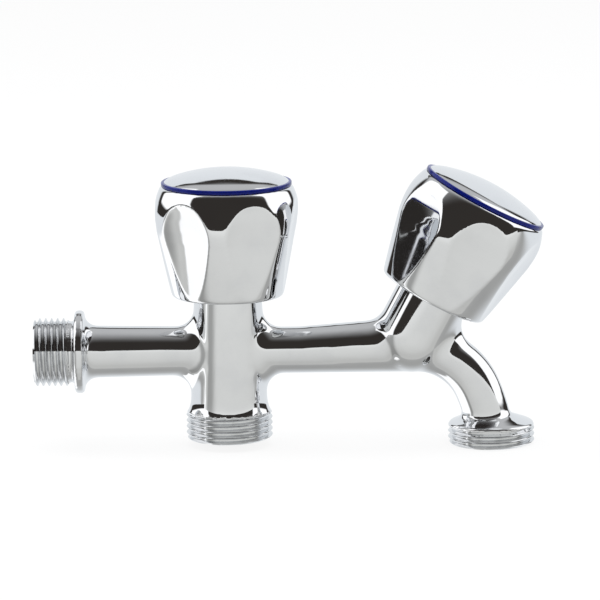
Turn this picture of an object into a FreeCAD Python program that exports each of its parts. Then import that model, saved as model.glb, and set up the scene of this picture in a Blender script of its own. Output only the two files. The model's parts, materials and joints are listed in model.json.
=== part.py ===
import FreeCAD, Part
import math
import os
import re
import Sketcher

# Two-valve wall tap for a washing machine and a hose. Millimetres, +X away from the wall, +Z up.
# The origin is the centre of the flange face that meets the wall. Every turned piece of a valve
# is drawn in the valve's own frame: its axis is vertical and height 0 is the rim of the neck.

SIZES = [
    # Inlet thread, wall flange and the pipe from the wall to the upright valve
    ("inlet_thread_radius", 10.48, "outside of the G1/2 inlet thread"),
    ("inlet_thread_length", 12.5, "from the wall face of the flange to the end of the inlet"),
    ("inlet_chamfer", 1.0, "chamfer at the end of the inlet thread"),
    ("relief_depth", 1.2, "depth of the plain neck between the thread and the flange"),
    ("relief_length", 2.2, "length of that plain neck"),
    ("flange_radius", 12.7, "wall flange"),
    ("flange_thickness", 2.9, "wall flange"),
    ("flange_edge", 0.5, "chamfer round the flange"),
    ("flange_land", 1.6, "flat ring of the flange outside the flare"),
    ("flare_length", 3.9, "flare from the flange to the pipe"),
    ("flare_bend", 4.0, "hollow curve of the flare"),
    ("wall_pipe_radius", 7.95, "pipe behind the flange"),
    ("wall_pipe_end_radius", 7.3, "the same pipe at the upright valve"),
    # Places of the valves and of the angled outlet
    ("upright_valve_place", 47.0, "upright valve axis, from the wall face"),
    ("angled_valve_place", 53.9, "angled valve, from the upright valve, on the pipe axis"),
    ("angled_outlet_place", 26.4, "angled outlet axis, from the angled valve on the pipe axis"),
    ("valve_tilt", 28.0, "lean of the angled valve away from the wall, degrees"),
    # Outside of the casting round the valves
    ("neck_wall", 1.72, "wall of the neck round the bonnet thread"),
    ("upright_rim_height", 24.0, "rim of the upright neck above the pipe axis"),
    ("angled_rim_height", 25.0, "rim of the angled neck, along its own axis"),
    ("angled_neck_swell", 1.2, "angled neck, outside the upright one's radius"),
    ("shoulder_height", 4.7, "centre of the round shoulder under the angled neck"),
    ("cross_pipe_radius", 7.1, "pipe between the valves, and the spout"),
    ("rise_start", 19.0, "from the upright valve to where the cross pipe's top begins to rise"),
    ("rise_start_step", 0.2, "start of that rise, inside the pipe"),
    ("rise_end_radius", 8.15, "thicker end of the cross pipe, at the angled valve"),
    ("rise_end_height", 1.45, "middle of that end above the pipe axis"),
    ("barrel_foot_step", 0.45, "from the foot of the barrel out to the outlet thread"),
    ("waist_step", 1.1, "from the waist of the barrel out to its foot"),
    ("barrel_foot_height", 5.0, "from the outlet thread up to the waist"),
    ("barrel_foot_bend", 12.0, "hollow curve from the waist to the foot"),
    ("upright_blend", 5.5, "fillet between the pipes and the upright barrel"),
    ("pipe_blend", 6.5, "fillet between the cross pipe and the angled neck"),
    ("spout_blend", 7.0, "fillet between the angled neck and the top of the spout"),
    # Outlets
    ("outlet_thread_radius", 13.22, "outside of the G3/4 outlet threads"),
    ("outlet_chamfer", 0.7, "chamfer at the mouth of each outlet"),
    ("centre_outlet_depth", 27.1, "face of the centre outlet, below the pipe axis"),
    ("centre_thread_length", 8.1, "thread of the centre outlet"),
    ("angled_outlet_depth", 29.4, "face of the angled outlet, below the pipe axis"),
    ("angled_thread_length", 5.5, "thread of the angled outlet"),
    ("collar_blend", 2.2, "fillet between the spout and its collar"),
    ("collar_slope_height", 4.3, "rise of the collar's sloping top to its middle"),
    ("collar_edge_height", 1.1, "rounded edge of the collar"),
    ("collar_edge_reach", 0.72, "rounded edge of the collar, outwards"),
    ("collar_edge_bend", 1.4, "rounding of that edge"),
    # Spout
    ("spout_bend_radius", 20.6, "first bend of the spout"),
    ("spout_bend_angle", 67.0, "turn of the first bend, degrees"),
    ("spout_end_angle", 83.0, "slope of the spout at its collar, degrees"),
    ("spout_end_rise", 1.5, "end of the spout's centre line above the outlet face"),
    # Waterways
    ("inlet_bore_radius", 6.5, "mouth of the inlet"),
    ("inlet_bore_length", 19.0, "length of that mouth"),
    ("supply_bore_radius", 5.0, "bore of the pipe from the wall"),
    ("bore_taper", 2.0, "length of the taper between the two"),
    ("cross_bore_radius", 4.8, "bore of the cross pipe and of the spout"),
    ("cross_bore_stop", 1.4, "end of the cross bore, before the angled valve"),
    ("chamber_step", 0.83, "from the bonnet thread in to the chamber's wall"),
    ("upright_chamber_depth", 6.5, "floor of the upright chamber, below the pipe axis"),
    ("angled_seat_height", 1.5, "valve seat above the floor of the angled chamber"),
    ("seat_wall", 1.5, "wall of the raised valve seat"),
    ("seat_drop", 18.5, "valve seat, below the rim of the neck"),
    ("angled_hole_depth", 3.0, "foot of the angled seat hole, past the pipe axis"),
    ("mouth_radius", 8.0, "mouth of each outlet"),
    ("centre_mouth_depth", 14.0, "length of the centre mouth"),
    ("centre_mouth_taper", 3.5, "taper from the seat hole to the centre mouth"),
    ("angled_mouth_depth", 6.0, "length of the angled mouth"),
    ("spout_bore_turn", 28.0, "where the spout bore joins the spout's bend, degrees"),
    ("spout_bore_reach", 6.0, "straight start of the spout bore, in the angled chamber"),
    # Bonnet, which screws into the neck, and its gasket
    ("bonnet_thread_radius", 8.33, "outside of the G3/8 bonnet thread"),
    ("thread_runout", 0.6, "depth of the neck's thread past the bonnet"),
    ("bonnet_hex_across", 19.0, "across the flats of the bonnet's hexagon"),
    ("bonnet_hex_height", 6.0, "hexagon"),
    ("bonnet_tube_radius", 7.0, "round top of the bonnet"),
    ("bonnet_tube_height", 6.0, "top of the bonnet above the spindle's shoulder"),
    ("gasket_thickness", 1.0, "fibre gasket under the hexagon"),
    ("gasket_width", 1.5, "ring of the gasket, from inside to outside"),
    ("gasket_gap", 0.12, "between the gasket and the bonnet thread"),
    # Spindle
    ("spindle_radius", 4.0, "shaft, and tips of the splines"),
    ("spindle_top", 20.5, "end of the spindle above the rim"),
    ("spline_depth", 0.4, "depth of the spline grooves"),
    ("spline_count", 20, "splines round the spindle"),
    ("spline_share", 0.6, "share of the outline taken by the grooves"),
    ("spline_slope", 3.0, "how far a groove narrows to its root on each side, degrees"),
    ("spline_play", 0.7, "play between the splines and the knob, degrees"),
    ("spindle_collar_height", 2.2, "collar inside the bonnet"),
    ("spindle_end_play", 0.1, "between the collar and its shoulder"),
    ("screw_tail_radius", 3.5, "screwed tail that lifts the plunger"),
    ("seal_groove_depth", 1.0, "ring grooves"),
    ("seal_play", 0.04, "between a rubber ring and its groove"),
    ("lower_seal_rise", 1.6, "middle of the lower ring above the spindle's shoulder"),
    ("upper_seal_drop", 1.8, "middle of the upper ring below the bonnet's top"),
    ("circlip_thickness", 0.8, "spring clip that holds the spindle"),
    ("circlip_radius", 6.0, "outside of the clip"),
    ("circlip_opening", 3.0, "opening of the clip"),
    ("circlip_groove_depth", 0.6, "groove for the clip"),
    ("clip_rest", 0.15, "between the clip and the bonnet"),
    # Plunger with its rubber washer
    ("plunger_across", 10.0, "hexagon of the plunger, across the flats"),
    ("plunger_height", 11.95, "hexagon of the plunger"),
    ("plunger_travel", 5.1, "lift of the plunger"),
    ("lift_room", 0.4, "left above and below the lifted plunger"),
    ("plunger_foot_gap", 1.2, "between the plunger's foot and the chamber"),
    ("plunger_foot_height", 2.0, "disc that carries the washer"),
    ("plunger_floor", 3.2, "from the washer up to the plunger's bore"),
    ("washer_inset", 0.3, "washer inside the plunger's foot"),
    ("washer_thickness", 3.0, "rubber washer"),
    ("washer_cover", 0.75, "washer outside the seat"),
    ("seat_gap", 0.05, "between the shut washer and the seat"),
    ("washer_screw_radius", 2.0, "thread of the washer's screw"),
    ("washer_screw_head_radius", 2.8, "its head"),
    ("washer_screw_head_height", 1.4, "its head"),
    # Knob
    ("knob_foot_drop", 6.9, "lower edge of the knob, below the rim"),
    ("knob_foot_radius", 17.2, "lower edge of the knob"),
    ("knob_foot_round", 1.0, "rounding of the lower edge"),
    ("knob_hip_radius", 21.6, "where the taper meets the round shoulder"),
    ("knob_hip_height", 11.4, "where the taper meets the round shoulder"),
    ("knob_shoulder_bend", 22.0, "round shoulder"),
    ("knob_top_radius", 20.3, "top of the round shoulder"),
    ("knob_top_edge", 0.5, "chamfer under the index ring"),
    ("knob_foot_wall", 2.6, "wall at the knob's foot"),
    ("knob_hip_wall", 3.2, "wall where the taper ends"),
    ("knob_web", 3.5, "thickness of the knob's top"),
    ("facet_count", 6, "flats round the knob"),
    ("facet_foot_cut", 0.65, "depth of a flat at the knob's foot"),
    ("facet_middle_cut", 1.95, "depth of its middle, from the hip's radius"),
    ("facet_middle_height", 8.0, "where its straight lower part ends"),
    ("facet_top_cut", 0.4, "depth of its top, from the hip's radius"),
    ("facet_arch_drop", 3.2, "top of the arch below the knob's top"),
    ("facet_bend", 64.0, "slow outward curve of its upper part"),
    ("upright_knob_turn", -6.8, "where the upright knob stands when shut, degrees"),
    ("angled_knob_turn", -19.9, "where the angled knob stands when shut, degrees"),
    ("well_radius", 16.9, "round well in the knob's top"),
    ("well_depth", 2.2, "that well"),
    ("boss_radius", 7.0, "boss on the spindle"),
    ("boss_rest", 0.45, "between the boss and the clip"),
    ("screw_floor", 2.0, "metal under the head of the knob's screw"),
    ("knob_screw_radius", 2.0, "thread of the knob's screw"),
    ("knob_screw_length", 8.0, "that screw, below its head"),
    ("knob_screw_head_radius", 4.0, "its head"),
    ("knob_screw_head_height", 2.2, "its head"),
    ("head_room", 0.6, "round the screw's head"),
    ("driver_slot_width", 1.2, "slot in the head of each screw"),
    ("driver_slot_depth", 0.8, "slot in the head of each screw"),
    # Index ring and domed cap
    ("ring_radius", 20.0, "index ring"),
    ("ring_thickness", 1.2, "index ring"),
    ("cap_radius", 19.1, "rim of the cap, before its round edge"),
    ("cap_rim_height", 0.9, "round edge of the cap"),
    ("cap_rim_bend", 0.5, "rounding of that edge"),
    ("cap_rise", 3.0, "height of the dome above its rim"),
    ("cap_wall", 1.2, "wall of the dome"),
    ("cap_skirt_wall", 1.5, "wall of the skirt that snaps into the well"),
    ("cap_floor_gap", 0.3, "between the skirt and the floor of the well"),
    # Fits
    ("fit_gap", 0.05, "round shafts, threads and hexagons"),
    ("snap_gap", 0.1, "round the cap's skirt and the index ring"),
    ("screw_gap", 0.2, "round a screw in its clearance hole, and past its end"),
]

# Levels of a valve, from the rim of its neck, worked out from the seat upwards
WASHER_FOOT = "(seat_gap - seat_drop)"
WASHER_TOP = "(%s + washer_thickness)" % WASHER_FOOT
PLUNGER_FLOOR = "(%s + plunger_floor)" % WASHER_TOP
PLUNGER_FOOT_TOP = "(%s + plunger_foot_height)" % WASHER_TOP
PLUNGER_TOP = "(%s + plunger_height)" % PLUNGER_FOOT_TOP
BONNET_FOOT = "(%s + plunger_travel + lift_room)" % PLUNGER_FOOT_TOP
TAIL_FOOT = "(%s + plunger_travel + lift_room)" % PLUNGER_FLOOR
GUIDE_TOP = "(%s + plunger_travel + lift_room)" % PLUNGER_TOP
COLLAR_FOOT = "(%s + screw_gap)" % GUIDE_TOP
COLLAR_TOP = "(%s + spindle_collar_height)" % COLLAR_FOOT
COLLAR_ROOM_TOP = "(%s + spindle_end_play)" % COLLAR_TOP
BONNET_TOP = "(%s + bonnet_tube_height)" % COLLAR_ROOM_TOP
CLIP_FOOT = "(%s + clip_rest)" % BONNET_TOP
CLIP_TOP = "(%s + circlip_thickness)" % CLIP_FOOT
BOSS_FOOT = "(%s + boss_rest)" % CLIP_TOP
SPLINE_TOP = "(spindle_top + screw_gap)"
SCREW_SEAT = "(%s + screw_floor)" % SPLINE_TOP
SCREW_FOOT = "(%s - knob_screw_length)" % SCREW_SEAT
WELL_FLOOR = "(%s + knob_screw_head_height + snap_gap)" % SCREW_SEAT
KNOB_TOP = "(%s + well_depth)" % WELL_FLOOR
CAP_FOOT = "(%s + ring_thickness)" % KNOB_TOP
CAP_RIM = "(%s + cap_rim_height)" % CAP_FOOT

# Radii of a valve that follow from their neighbours
NECK_HOLE = "(bonnet_thread_radius + fit_gap)"
NECK = "(%s + neck_wall)" % NECK_HOLE
ANGLED_NECK = "(%s + angled_neck_swell)" % NECK
CHAMBER = "(bonnet_thread_radius - chamber_step)"
PLUNGER_FOOT = "(%s - plunger_foot_gap)" % CHAMBER
WASHER = "(%s - washer_inset)" % PLUNGER_FOOT
SEAT = "(%s - washer_cover)" % WASHER
SEAT_HOLE = "(%s - seat_wall)" % SEAT
SHAFT_HOLE = "(spindle_radius + fit_gap)"
GUIDE_ROOM = "(plunger_across / 2 + fit_gap)"
COLLAR = "(plunger_across / 2 - fit_gap)"
SPLINE_ROOT = "(spindle_radius - spline_depth)"

# Places of the casting
ANGLED_VALVE = "(upright_valve_place + angled_valve_place)"
OUTLET = "(%s + angled_outlet_place)" % ANGLED_VALVE
CENTRE_THREAD_TOP = "(centre_thread_length - centre_outlet_depth)"
WAIST_HEIGHT = "(%s + barrel_foot_height)" % CENTRE_THREAD_TOP
# The barrel's fillets end above its waist
BARREL_BLEND = "min(upright_blend; -%s - wall_pipe_radius)" % WAIST_HEIGHT
ANGLED_THREAD_TOP = "(angled_thread_length - angled_outlet_depth)"
LEAN = "valve_tilt * 1 deg"

ALIASES = {alias for alias, value, note in SIZES}
SEAM_CURVE = "BSplineCurve"


def named(word):
    """A word of a size rule: an alias gets the sheet's name in front, a function stays."""
    if word in ALIASES:
        return "sizes." + word
    return word


def sized(rule):
    """A size rule with every alias read from the sheet."""
    return re.sub(r"[a-z][a-z_]*", lambda word: named(word.group(0)), rule)


def measure(rule):
    """The present value of a size rule, in millimetres or degrees."""
    return float(sheet.evalExpression(sized(rule)))


def fill_sheet():
    """The spreadsheet of driving dimensions: name, value, what it is."""
    for row, (alias, value, note) in enumerate(SIZES, start=1):
        sheet.set("A%d" % row, alias)
        sheet.set("B%d" % row, str(value))
        sheet.set("C%d" % row, note)
        sheet.setAlias("B%d" % row, alias)
    doc.recompute()


def new_sketch(body, name, role="XZ_Plane", across="0", up="0"):
    """A sketch on one of the body's origin planes, moved in its plane or, if level, upwards."""
    plane = [item for item in body.Origin.OriginFeatures if item.Role == role][0]
    sketch = body.newObject("Sketcher::SketchObject", name)
    sketch.AttachmentSupport = (plane, [""])
    sketch.MapMode = "FlatFace"
    if role == "XY_Plane":
        sketch.setExpression("AttachmentOffset.Base.z", sized(up))
    else:
        sketch.setExpression("AttachmentOffset.Base.x", sized(across))
    return sketch


def bind(sketch, constraint, rule):
    """Add a constraint whose value follows a size rule."""
    index = sketch.addConstraint(constraint)
    sketch.setExpression("Constraints[%d]" % index, sized(rule))


def arc_between(start, end, radius, side):
    """The shorter arc of a radius between two points, drawn anticlockwise. Its centre lies on
    the left or the right of the way from start to end."""
    if side == "right":
        start, end = end, start
    chord = end - start
    left = FreeCAD.Vector(-chord.y, chord.x, 0) / chord.Length
    rise = radius - math.sqrt(radius ** 2 - chord.Length ** 2 / 4)
    return Part.Arc(start, (start + end) / 2 - left * rise, end)


def end_at(sketch, edge, place):
    """Which end of a sketch edge lies at a place: 1 for its start, 2 for its end."""
    line = sketch.Geometry[edge]
    return 1 if (line.StartPoint - place).Length < (line.EndPoint - place).Length else 2


def draw(sketch, corners, closed=True):
    """An outline through corners, each (across, up) as size rules. A corner with a radius
    starts an arc: "left" or "right" says on which side of the way along it its centre lies."""
    first = sketch.GeometryCount
    places = [FreeCAD.Vector(measure(corner[0]), measure(corner[1]), 0) for corner in corners]
    count = len(corners) if closed else len(corners) - 1
    for index in range(count):
        start, end = places[index], places[(index + 1) % len(corners)]
        if len(corners[index]) > 2:
            radius, side = corners[index][2:]
            sketch.addGeometry(arc_between(start, end, measure(radius), side))
        else:
            sketch.addGeometry(Part.LineSegment(start, end))
    for index in range(count if closed else count - 1):
        place = places[(index + 1) % len(corners)]
        before, after = first + index, first + (index + 1) % count
        sketch.addConstraint(Sketcher.Constraint(
            "Coincident", before, end_at(sketch, before, place), after, end_at(sketch, after, place)))
    for index, corner in enumerate(corners):
        edge = first + min(index, count - 1)
        point = end_at(sketch, edge, places[index])
        bind(sketch, Sketcher.Constraint("DistanceX", -1, 1, edge, point, places[index].x), corner[0])
        bind(sketch, Sketcher.Constraint("DistanceY", -1, 1, edge, point, places[index].y), corner[1])
        if len(corner) > 2:
            bind(sketch, Sketcher.Constraint("Radius", edge, measure(corner[2])), corner[2])


def draw_circle(sketch, radius):
    """A circle round the sketch's origin."""
    centre = FreeCAD.Vector(0, 0, 0)
    index = sketch.addGeometry(Part.Circle(centre, FreeCAD.Vector(0, 0, 1), measure(radius)))
    sketch.addConstraint(Sketcher.Constraint("Coincident", index, 3, -1, 1))
    bind(sketch, Sketcher.Constraint("Radius", index, measure(radius)), radius)


def draw_hexagon(sketch, across):
    """A regular hexagon round the sketch's origin, by its width across the flats."""
    corners = []
    for index in range(6):
        turn = "%d deg" % (60 * index)
        corner_radius = "%s / sqrt(3)" % across
        corners.append(("%s * cos(%s)" % (corner_radius, turn), "%s * sin(%s)" % (corner_radius, turn)))
    draw(sketch, corners)


def polar(radius, angle):
    """A sketch corner by its radius and its angle in degrees, both size rules."""
    return ("%s * cos((%s) * 1 deg)" % (radius, angle), "%s * sin((%s) * 1 deg)" % (radius, angle))


def turned(body, name, corners, axis="V_Axis", across="0", cut=False):
    """Turn an outline round its sketch's axis, as added or removed material."""
    sketch = new_sketch(body, name + "_outline", across=across)
    draw(sketch, corners)
    feature = body.newObject("PartDesign::Groove" if cut else "PartDesign::Revolution", name)
    feature.Profile = sketch
    feature.ReferenceAxis = (sketch, [axis])
    feature.Angle = 360
    return feature


def prism(body, name, sketch, length, cut=False):
    """Pad a level sketch upwards, or pocket it downwards."""
    feature = body.newObject("PartDesign::Pocket" if cut else "PartDesign::Pad", name)
    feature.Profile = sketch
    feature.setExpression("Length", sized(length))
    return feature


def new_body(label, valve=None):
    """A body whose file takes its label. A valve's body stands in the frame of its neck's rim."""
    body = doc.addObject("PartDesign::Body", label)
    body.Label = label
    if valve == "upright":
        body.setExpression("Placement.Base.x", sized("upright_valve_place"))
        body.setExpression("Placement.Base.z", sized("upright_rim_height"))
    if valve == "angled":
        leaning = FreeCAD.Rotation(FreeCAD.Vector(0, 1, 0), measure("valve_tilt"))
        body.Placement = FreeCAD.Placement(FreeCAD.Vector(0, 0, 0), leaning)
        body.setExpression("Placement.Rotation.Angle", sized(LEAN))
        lean_across = "%s + angled_rim_height * sin(%s)" % (ANGLED_VALVE, LEAN)
        body.setExpression("Placement.Base.x", sized(lean_across))
        body.setExpression("Placement.Base.z", sized("angled_rim_height * cos(%s)" % LEAN))
    return body


# Casting

def make_casting():
    """The one-piece brass body: pipes, barrels, spout and outlets, then the water ways in them."""
    body = new_body("tap_casting")
    wall_run(body)
    upright_barrel(body)
    turned(body, "cross_pipe", [
        ("upright_valve_place", "0"),
        ("upright_valve_place", "cross_pipe_radius"),
        ("%s - %s" % (ANGLED_VALVE, NECK), "cross_pipe_radius"),
        ("%s - %s" % (ANGLED_VALVE, NECK), "0"),
    ], axis="H_Axis")
    rising_pipe(body)
    leaning(body, "angled_neck", [
        ("0", "shoulder_height - %s" % ANGLED_NECK, ANGLED_NECK, "left"),
        (ANGLED_NECK, "shoulder_height"),
        (ANGLED_NECK, "angled_rim_height"),
        ("0", "angled_rim_height"),
    ])
    spout(body)
    outlet_collar(body)
    blend_junctions(body)
    supply_bores(body)
    upright_chamber(body)
    angled_chamber(body)
    spout_bore(body)


def wall_run(body):
    """Inlet thread, flange, flare and the tapering pipe to the upright valve."""
    turned(body, "wall_run", [
        ("-inlet_thread_length", "0"),
        ("-inlet_thread_length", "inlet_thread_radius - inlet_chamfer"),
        ("-inlet_thread_length + inlet_chamfer", "inlet_thread_radius"),
        ("-relief_length", "inlet_thread_radius"),
        ("-relief_length", "inlet_thread_radius - relief_depth"),
        ("0", "inlet_thread_radius - relief_depth"),
        ("0", "flange_radius - flange_edge"),
        ("flange_edge", "flange_radius"),
        ("flange_thickness - flange_edge", "flange_radius"),
        ("flange_thickness", "flange_radius - flange_edge"),
        ("flange_thickness", "flange_radius - flange_land", "flare_bend", "left"),
        ("flange_thickness + flare_length", "wall_pipe_radius"),
        ("upright_valve_place", "wall_pipe_end_radius"),
        ("upright_valve_place", "0"),
    ], axis="H_Axis")


def upright_barrel(body):
    """Neck, barrel and centre outlet of the upright valve."""
    foot = "outlet_thread_radius - barrel_foot_step"
    turned(body, "upright_barrel", [
        ("0", "upright_rim_height"),
        (NECK, "upright_rim_height"),
        ("%s - waist_step" % foot, WAIST_HEIGHT, "barrel_foot_bend", "left"),
        (foot, CENTRE_THREAD_TOP),
        ("outlet_thread_radius", CENTRE_THREAD_TOP),
        ("outlet_thread_radius", "outlet_chamfer - centre_outlet_depth"),
        ("outlet_thread_radius - outlet_chamfer", "-centre_outlet_depth"),
        ("0", "-centre_outlet_depth"),
    ], across="upright_valve_place")


def rising_pipe(body):
    """The cross pipe's thicker part: its top rises towards the angled valve, its underside is level."""
    circles = []
    ends = [
        ("start", "upright_valve_place + rise_start", "0", "cross_pipe_radius - rise_start_step"),
        ("end", ANGLED_VALVE, "rise_end_height", "rise_end_radius"),
    ]
    for name, place, height, radius in ends:
        circle = new_sketch(body, "rise_" + name, "YZ_Plane")
        circle.setExpression("AttachmentOffset.Base.y", sized(height))
        circle.setExpression("AttachmentOffset.Base.z", sized(place))
        draw_circle(circle, radius)
        circles.append(circle)
    loft = body.newObject("PartDesign::AdditiveLoft", "cross_pipe_rise")
    loft.Profile, loft.Sections = circles[0], circles[1:]
    loft.Ruled = True


def leaning(body, name, corners, cut=False):
    """Turn an outline round the axis of the angled valve, heights counted from the pipe axis."""
    feature = turned(body, name, corners, across=ANGLED_VALVE, cut=cut)
    sketch = feature.Profile[0]
    lean = FreeCAD.Rotation(FreeCAD.Vector(0, 0, 1), -measure("valve_tilt"))
    sketch.AttachmentOffset = FreeCAD.Placement(FreeCAD.Vector(measure(ANGLED_VALVE), 0, 0), lean)
    sketch.setExpression("AttachmentOffset.Rotation.Angle", sized("-" + LEAN))


def spout_joints():
    """The spout's centre line: start of the first bend, joint of the bends with the second
    bend's radius, and end over the outlet."""
    first = "spout_bend_angle * 1 deg"
    last = "spout_end_angle * 1 deg"
    fall = "spout_bend_radius * (1 - cos(%s))" % first
    end_depth = "(angled_outlet_depth - spout_end_rise)"
    slow_radius = "((%s - %s) / (cos(%s) - cos(%s)))" % (end_depth, fall, first, last)
    middle = "%s - %s * (sin(%s) - sin(%s))" % (OUTLET, slow_radius, last, first)
    start = "%s - spout_bend_radius * sin(%s)" % (middle, first)
    return start, (middle, "-" + fall, slow_radius, "right"), (OUTLET, "-" + end_depth)


def pipe_along(body, name, corners, radius, cut=False):
    """A round pipe or bore along a path, its circle square to the path's start."""
    path = new_sketch(body, name + "_path")
    draw(path, corners, closed=False)
    ring = body.newObject("Sketcher::SketchObject", name + "_ring")
    ring.AttachmentSupport = (path, ["Edge1"])
    ring.MapMode = "NormalToEdge"
    draw_circle(ring, radius)
    pipe = body.newObject("PartDesign::SubtractivePipe" if cut else "PartDesign::AdditivePipe", name)
    pipe.Profile = ring
    pipe.Spine = path


def spout(body):
    """Spout from the end of the cross pipe, through the angled valve and down to its outlet."""
    start, middle, end = spout_joints()
    pipe_along(body, "spout", [
        ("%s - %s" % (ANGLED_VALVE, NECK), "0"),
        (start, "0", "spout_bend_radius", "right"),
        middle,
        end,
    ], "cross_pipe_radius")


def outlet_collar(body):
    """Collar that widens from the spout to the angled outlet thread."""
    edge = "%s + collar_edge_height" % ANGLED_THREAD_TOP
    turned(body, "outlet_collar", [
        ("0", "%s + collar_slope_height" % edge),
        ("outlet_thread_radius - collar_edge_reach", edge, "collar_edge_bend", "right"),
        ("outlet_thread_radius", ANGLED_THREAD_TOP),
        ("outlet_thread_radius", "outlet_chamfer - angled_outlet_depth"),
        ("outlet_thread_radius - outlet_chamfer", "-angled_outlet_depth"),
        ("0", "-angled_outlet_depth"),
    ], across=OUTLET)


def seam_edges(shape, low, high, least):
    """Seams where two round bodies run into each other, between two places along the pipe."""
    names = []
    for index, edge in enumerate(shape.Edges, start=1):
        if edge.Degenerated or edge.Curve.__class__.__name__ != SEAM_CURVE:
            continue
        if low < edge.BoundBox.Center.x < high and edge.Length > least:
            names.append("Edge%d" % index)
    return names


def blend_junctions(body):
    """Cast fillets where the pipes meet the barrel, and the angled neck meets pipe and spout."""
    doc.recompute()
    upright = measure("upright_valve_place")
    angled = measure(ANGLED_VALVE)
    neck = measure(NECK)
    outlet = measure(OUTLET)
    near_side = angled - neck / 5
    far_side = angled + neck
    spans = [
        ("wall_blend", upright - 2 * neck, upright, BARREL_BLEND),
        ("barrel_blend", upright, upright + 2 * neck, BARREL_BLEND),
        ("neck_blend", angled - 3 * neck / 2, near_side, "pipe_blend"),
        ("spout_top_blend", far_side, far_side + neck, "spout_blend"),
        ("outlet_blend", outlet - neck, outlet + neck, "collar_blend"),
    ]
    for name, low, high, radius in spans:
        base = body.Tip
        fillet = body.newObject("PartDesign::Fillet", name)
        fillet.Base = (base, seam_edges(base.Shape, low, high, neck))
        fillet.setExpression("Radius", sized(radius))
        doc.recompute()


def supply_bores(body):
    """Bore from the wall to the upright chamber, and on to the seat hole of the angled valve."""
    mouth_end = "inlet_bore_length - inlet_thread_length"
    seat_side = "(%s + screw_gap)" % SEAT
    turned(body, "wall_bore", [
        ("-inlet_thread_length", "0"),
        ("-inlet_thread_length", "inlet_bore_radius"),
        (mouth_end, "inlet_bore_radius"),
        ("%s + bore_taper" % mouth_end, "supply_bore_radius"),
        ("upright_valve_place - %s" % seat_side, "supply_bore_radius"),
        ("upright_valve_place - %s" % seat_side, "0"),
    ], axis="H_Axis", cut=True)
    turned(body, "cross_bore", [
        ("upright_valve_place + %s" % seat_side, "0"),
        ("upright_valve_place + %s" % seat_side, "cross_bore_radius"),
        ("%s - cross_bore_stop" % ANGLED_VALVE, "cross_bore_radius"),
        ("%s - cross_bore_stop" % ANGLED_VALVE, "0"),
    ], axis="H_Axis", cut=True)


def chamber_top(rim):
    """The upper part of a chamber's outline, from the rim down the thread to the plain wall."""
    thread_foot = "%s + %s - thread_runout" % (rim, BONNET_FOOT)
    return [("0", rim), (NECK_HOLE, rim), (NECK_HOLE, thread_foot), (CHAMBER, thread_foot)]


def upright_chamber(body):
    """Threaded neck, chamber, raised seat and the way down to the centre outlet."""
    seat_level = "upright_rim_height - seat_drop"
    mouth_top = "centre_mouth_depth - centre_outlet_depth"
    turned(body, "upright_chamber", chamber_top("upright_rim_height") + [
        (CHAMBER, "-upright_chamber_depth"),
        (SEAT, "-upright_chamber_depth"),
        (SEAT, seat_level),
        (SEAT_HOLE, seat_level),
        (SEAT_HOLE, "%s + centre_mouth_taper" % mouth_top),
        ("mouth_radius", mouth_top),
        ("mouth_radius", "-centre_outlet_depth"),
        ("0", "-centre_outlet_depth"),
    ], across="upright_valve_place", cut=True)


def angled_chamber(body):
    """Threaded neck, chamber and seat of the angled valve; the seat hole meets the cross bore."""
    seat_level = "angled_rim_height - seat_drop"
    leaning(body, "angled_chamber", chamber_top("angled_rim_height") + [
        (CHAMBER, "%s - angled_seat_height" % seat_level),
        (SEAT, "%s - angled_seat_height" % seat_level),
        (SEAT, seat_level),
        (SEAT_HOLE, seat_level),
        (SEAT_HOLE, "-angled_hole_depth"),
        ("0", "-angled_hole_depth"),
    ], cut=True)


def spout_bore(body):
    """Bore from the angled chamber down the spout, and the mouth of its outlet."""
    start, middle, end = spout_joints()
    turn = "spout_bore_turn * 1 deg"
    join_across = "%s + spout_bend_radius * sin(%s)" % (start, turn)
    join_up = "-spout_bend_radius * (1 - cos(%s))" % turn
    pipe_along(body, "spout_bore", [
        ("%s - spout_bore_reach * cos(%s)" % (join_across, turn),
         "%s + spout_bore_reach * sin(%s)" % (join_up, turn)),
        (join_across, join_up, "spout_bend_radius", "right"),
        middle,
        end,
    ], "cross_bore_radius", cut=True)
    turned(body, "angled_mouth", [
        ("0", "angled_mouth_depth - angled_outlet_depth"),
        ("mouth_radius", "angled_mouth_depth - angled_outlet_depth"),
        ("mouth_radius", "-angled_outlet_depth"),
        ("0", "-angled_outlet_depth"),
    ], across=OUTLET, cut=True)


# Valve works, the same in both valves

def make_bonnet(valve):
    """Brass bonnet: thread, hexagon and tube, with a hexagonal guide for the plunger."""
    body = new_body(valve + "_bonnet", valve)
    turned(body, valve + "_bonnet_barrel", [
        (SHAFT_HOLE, COLLAR_ROOM_TOP),
        (GUIDE_ROOM, COLLAR_ROOM_TOP),
        (GUIDE_ROOM, BONNET_FOOT),
        ("bonnet_thread_radius", BONNET_FOOT),
        ("bonnet_thread_radius", "gasket_thickness"),
        ("bonnet_tube_radius", "gasket_thickness"),
        ("bonnet_tube_radius", BONNET_TOP),
        (SHAFT_HOLE, BONNET_TOP),
    ])
    flats = new_sketch(body, valve + "_bonnet_flats", "XY_Plane", up="gasket_thickness")
    draw_hexagon(flats, "bonnet_hex_across")
    draw_circle(flats, "((bonnet_tube_radius + %s) / 2)" % GUIDE_ROOM)
    prism(body, valve + "_bonnet_hexagon", flats, "bonnet_hex_height")
    guide = new_sketch(body, valve + "_guide_flats", "XY_Plane", up=GUIDE_TOP)
    draw_hexagon(guide, "(plunger_across + 2 * fit_gap)")
    prism(body, valve + "_guide", guide, "%s - %s" % (GUIDE_TOP, BONNET_FOOT), cut=True)


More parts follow.
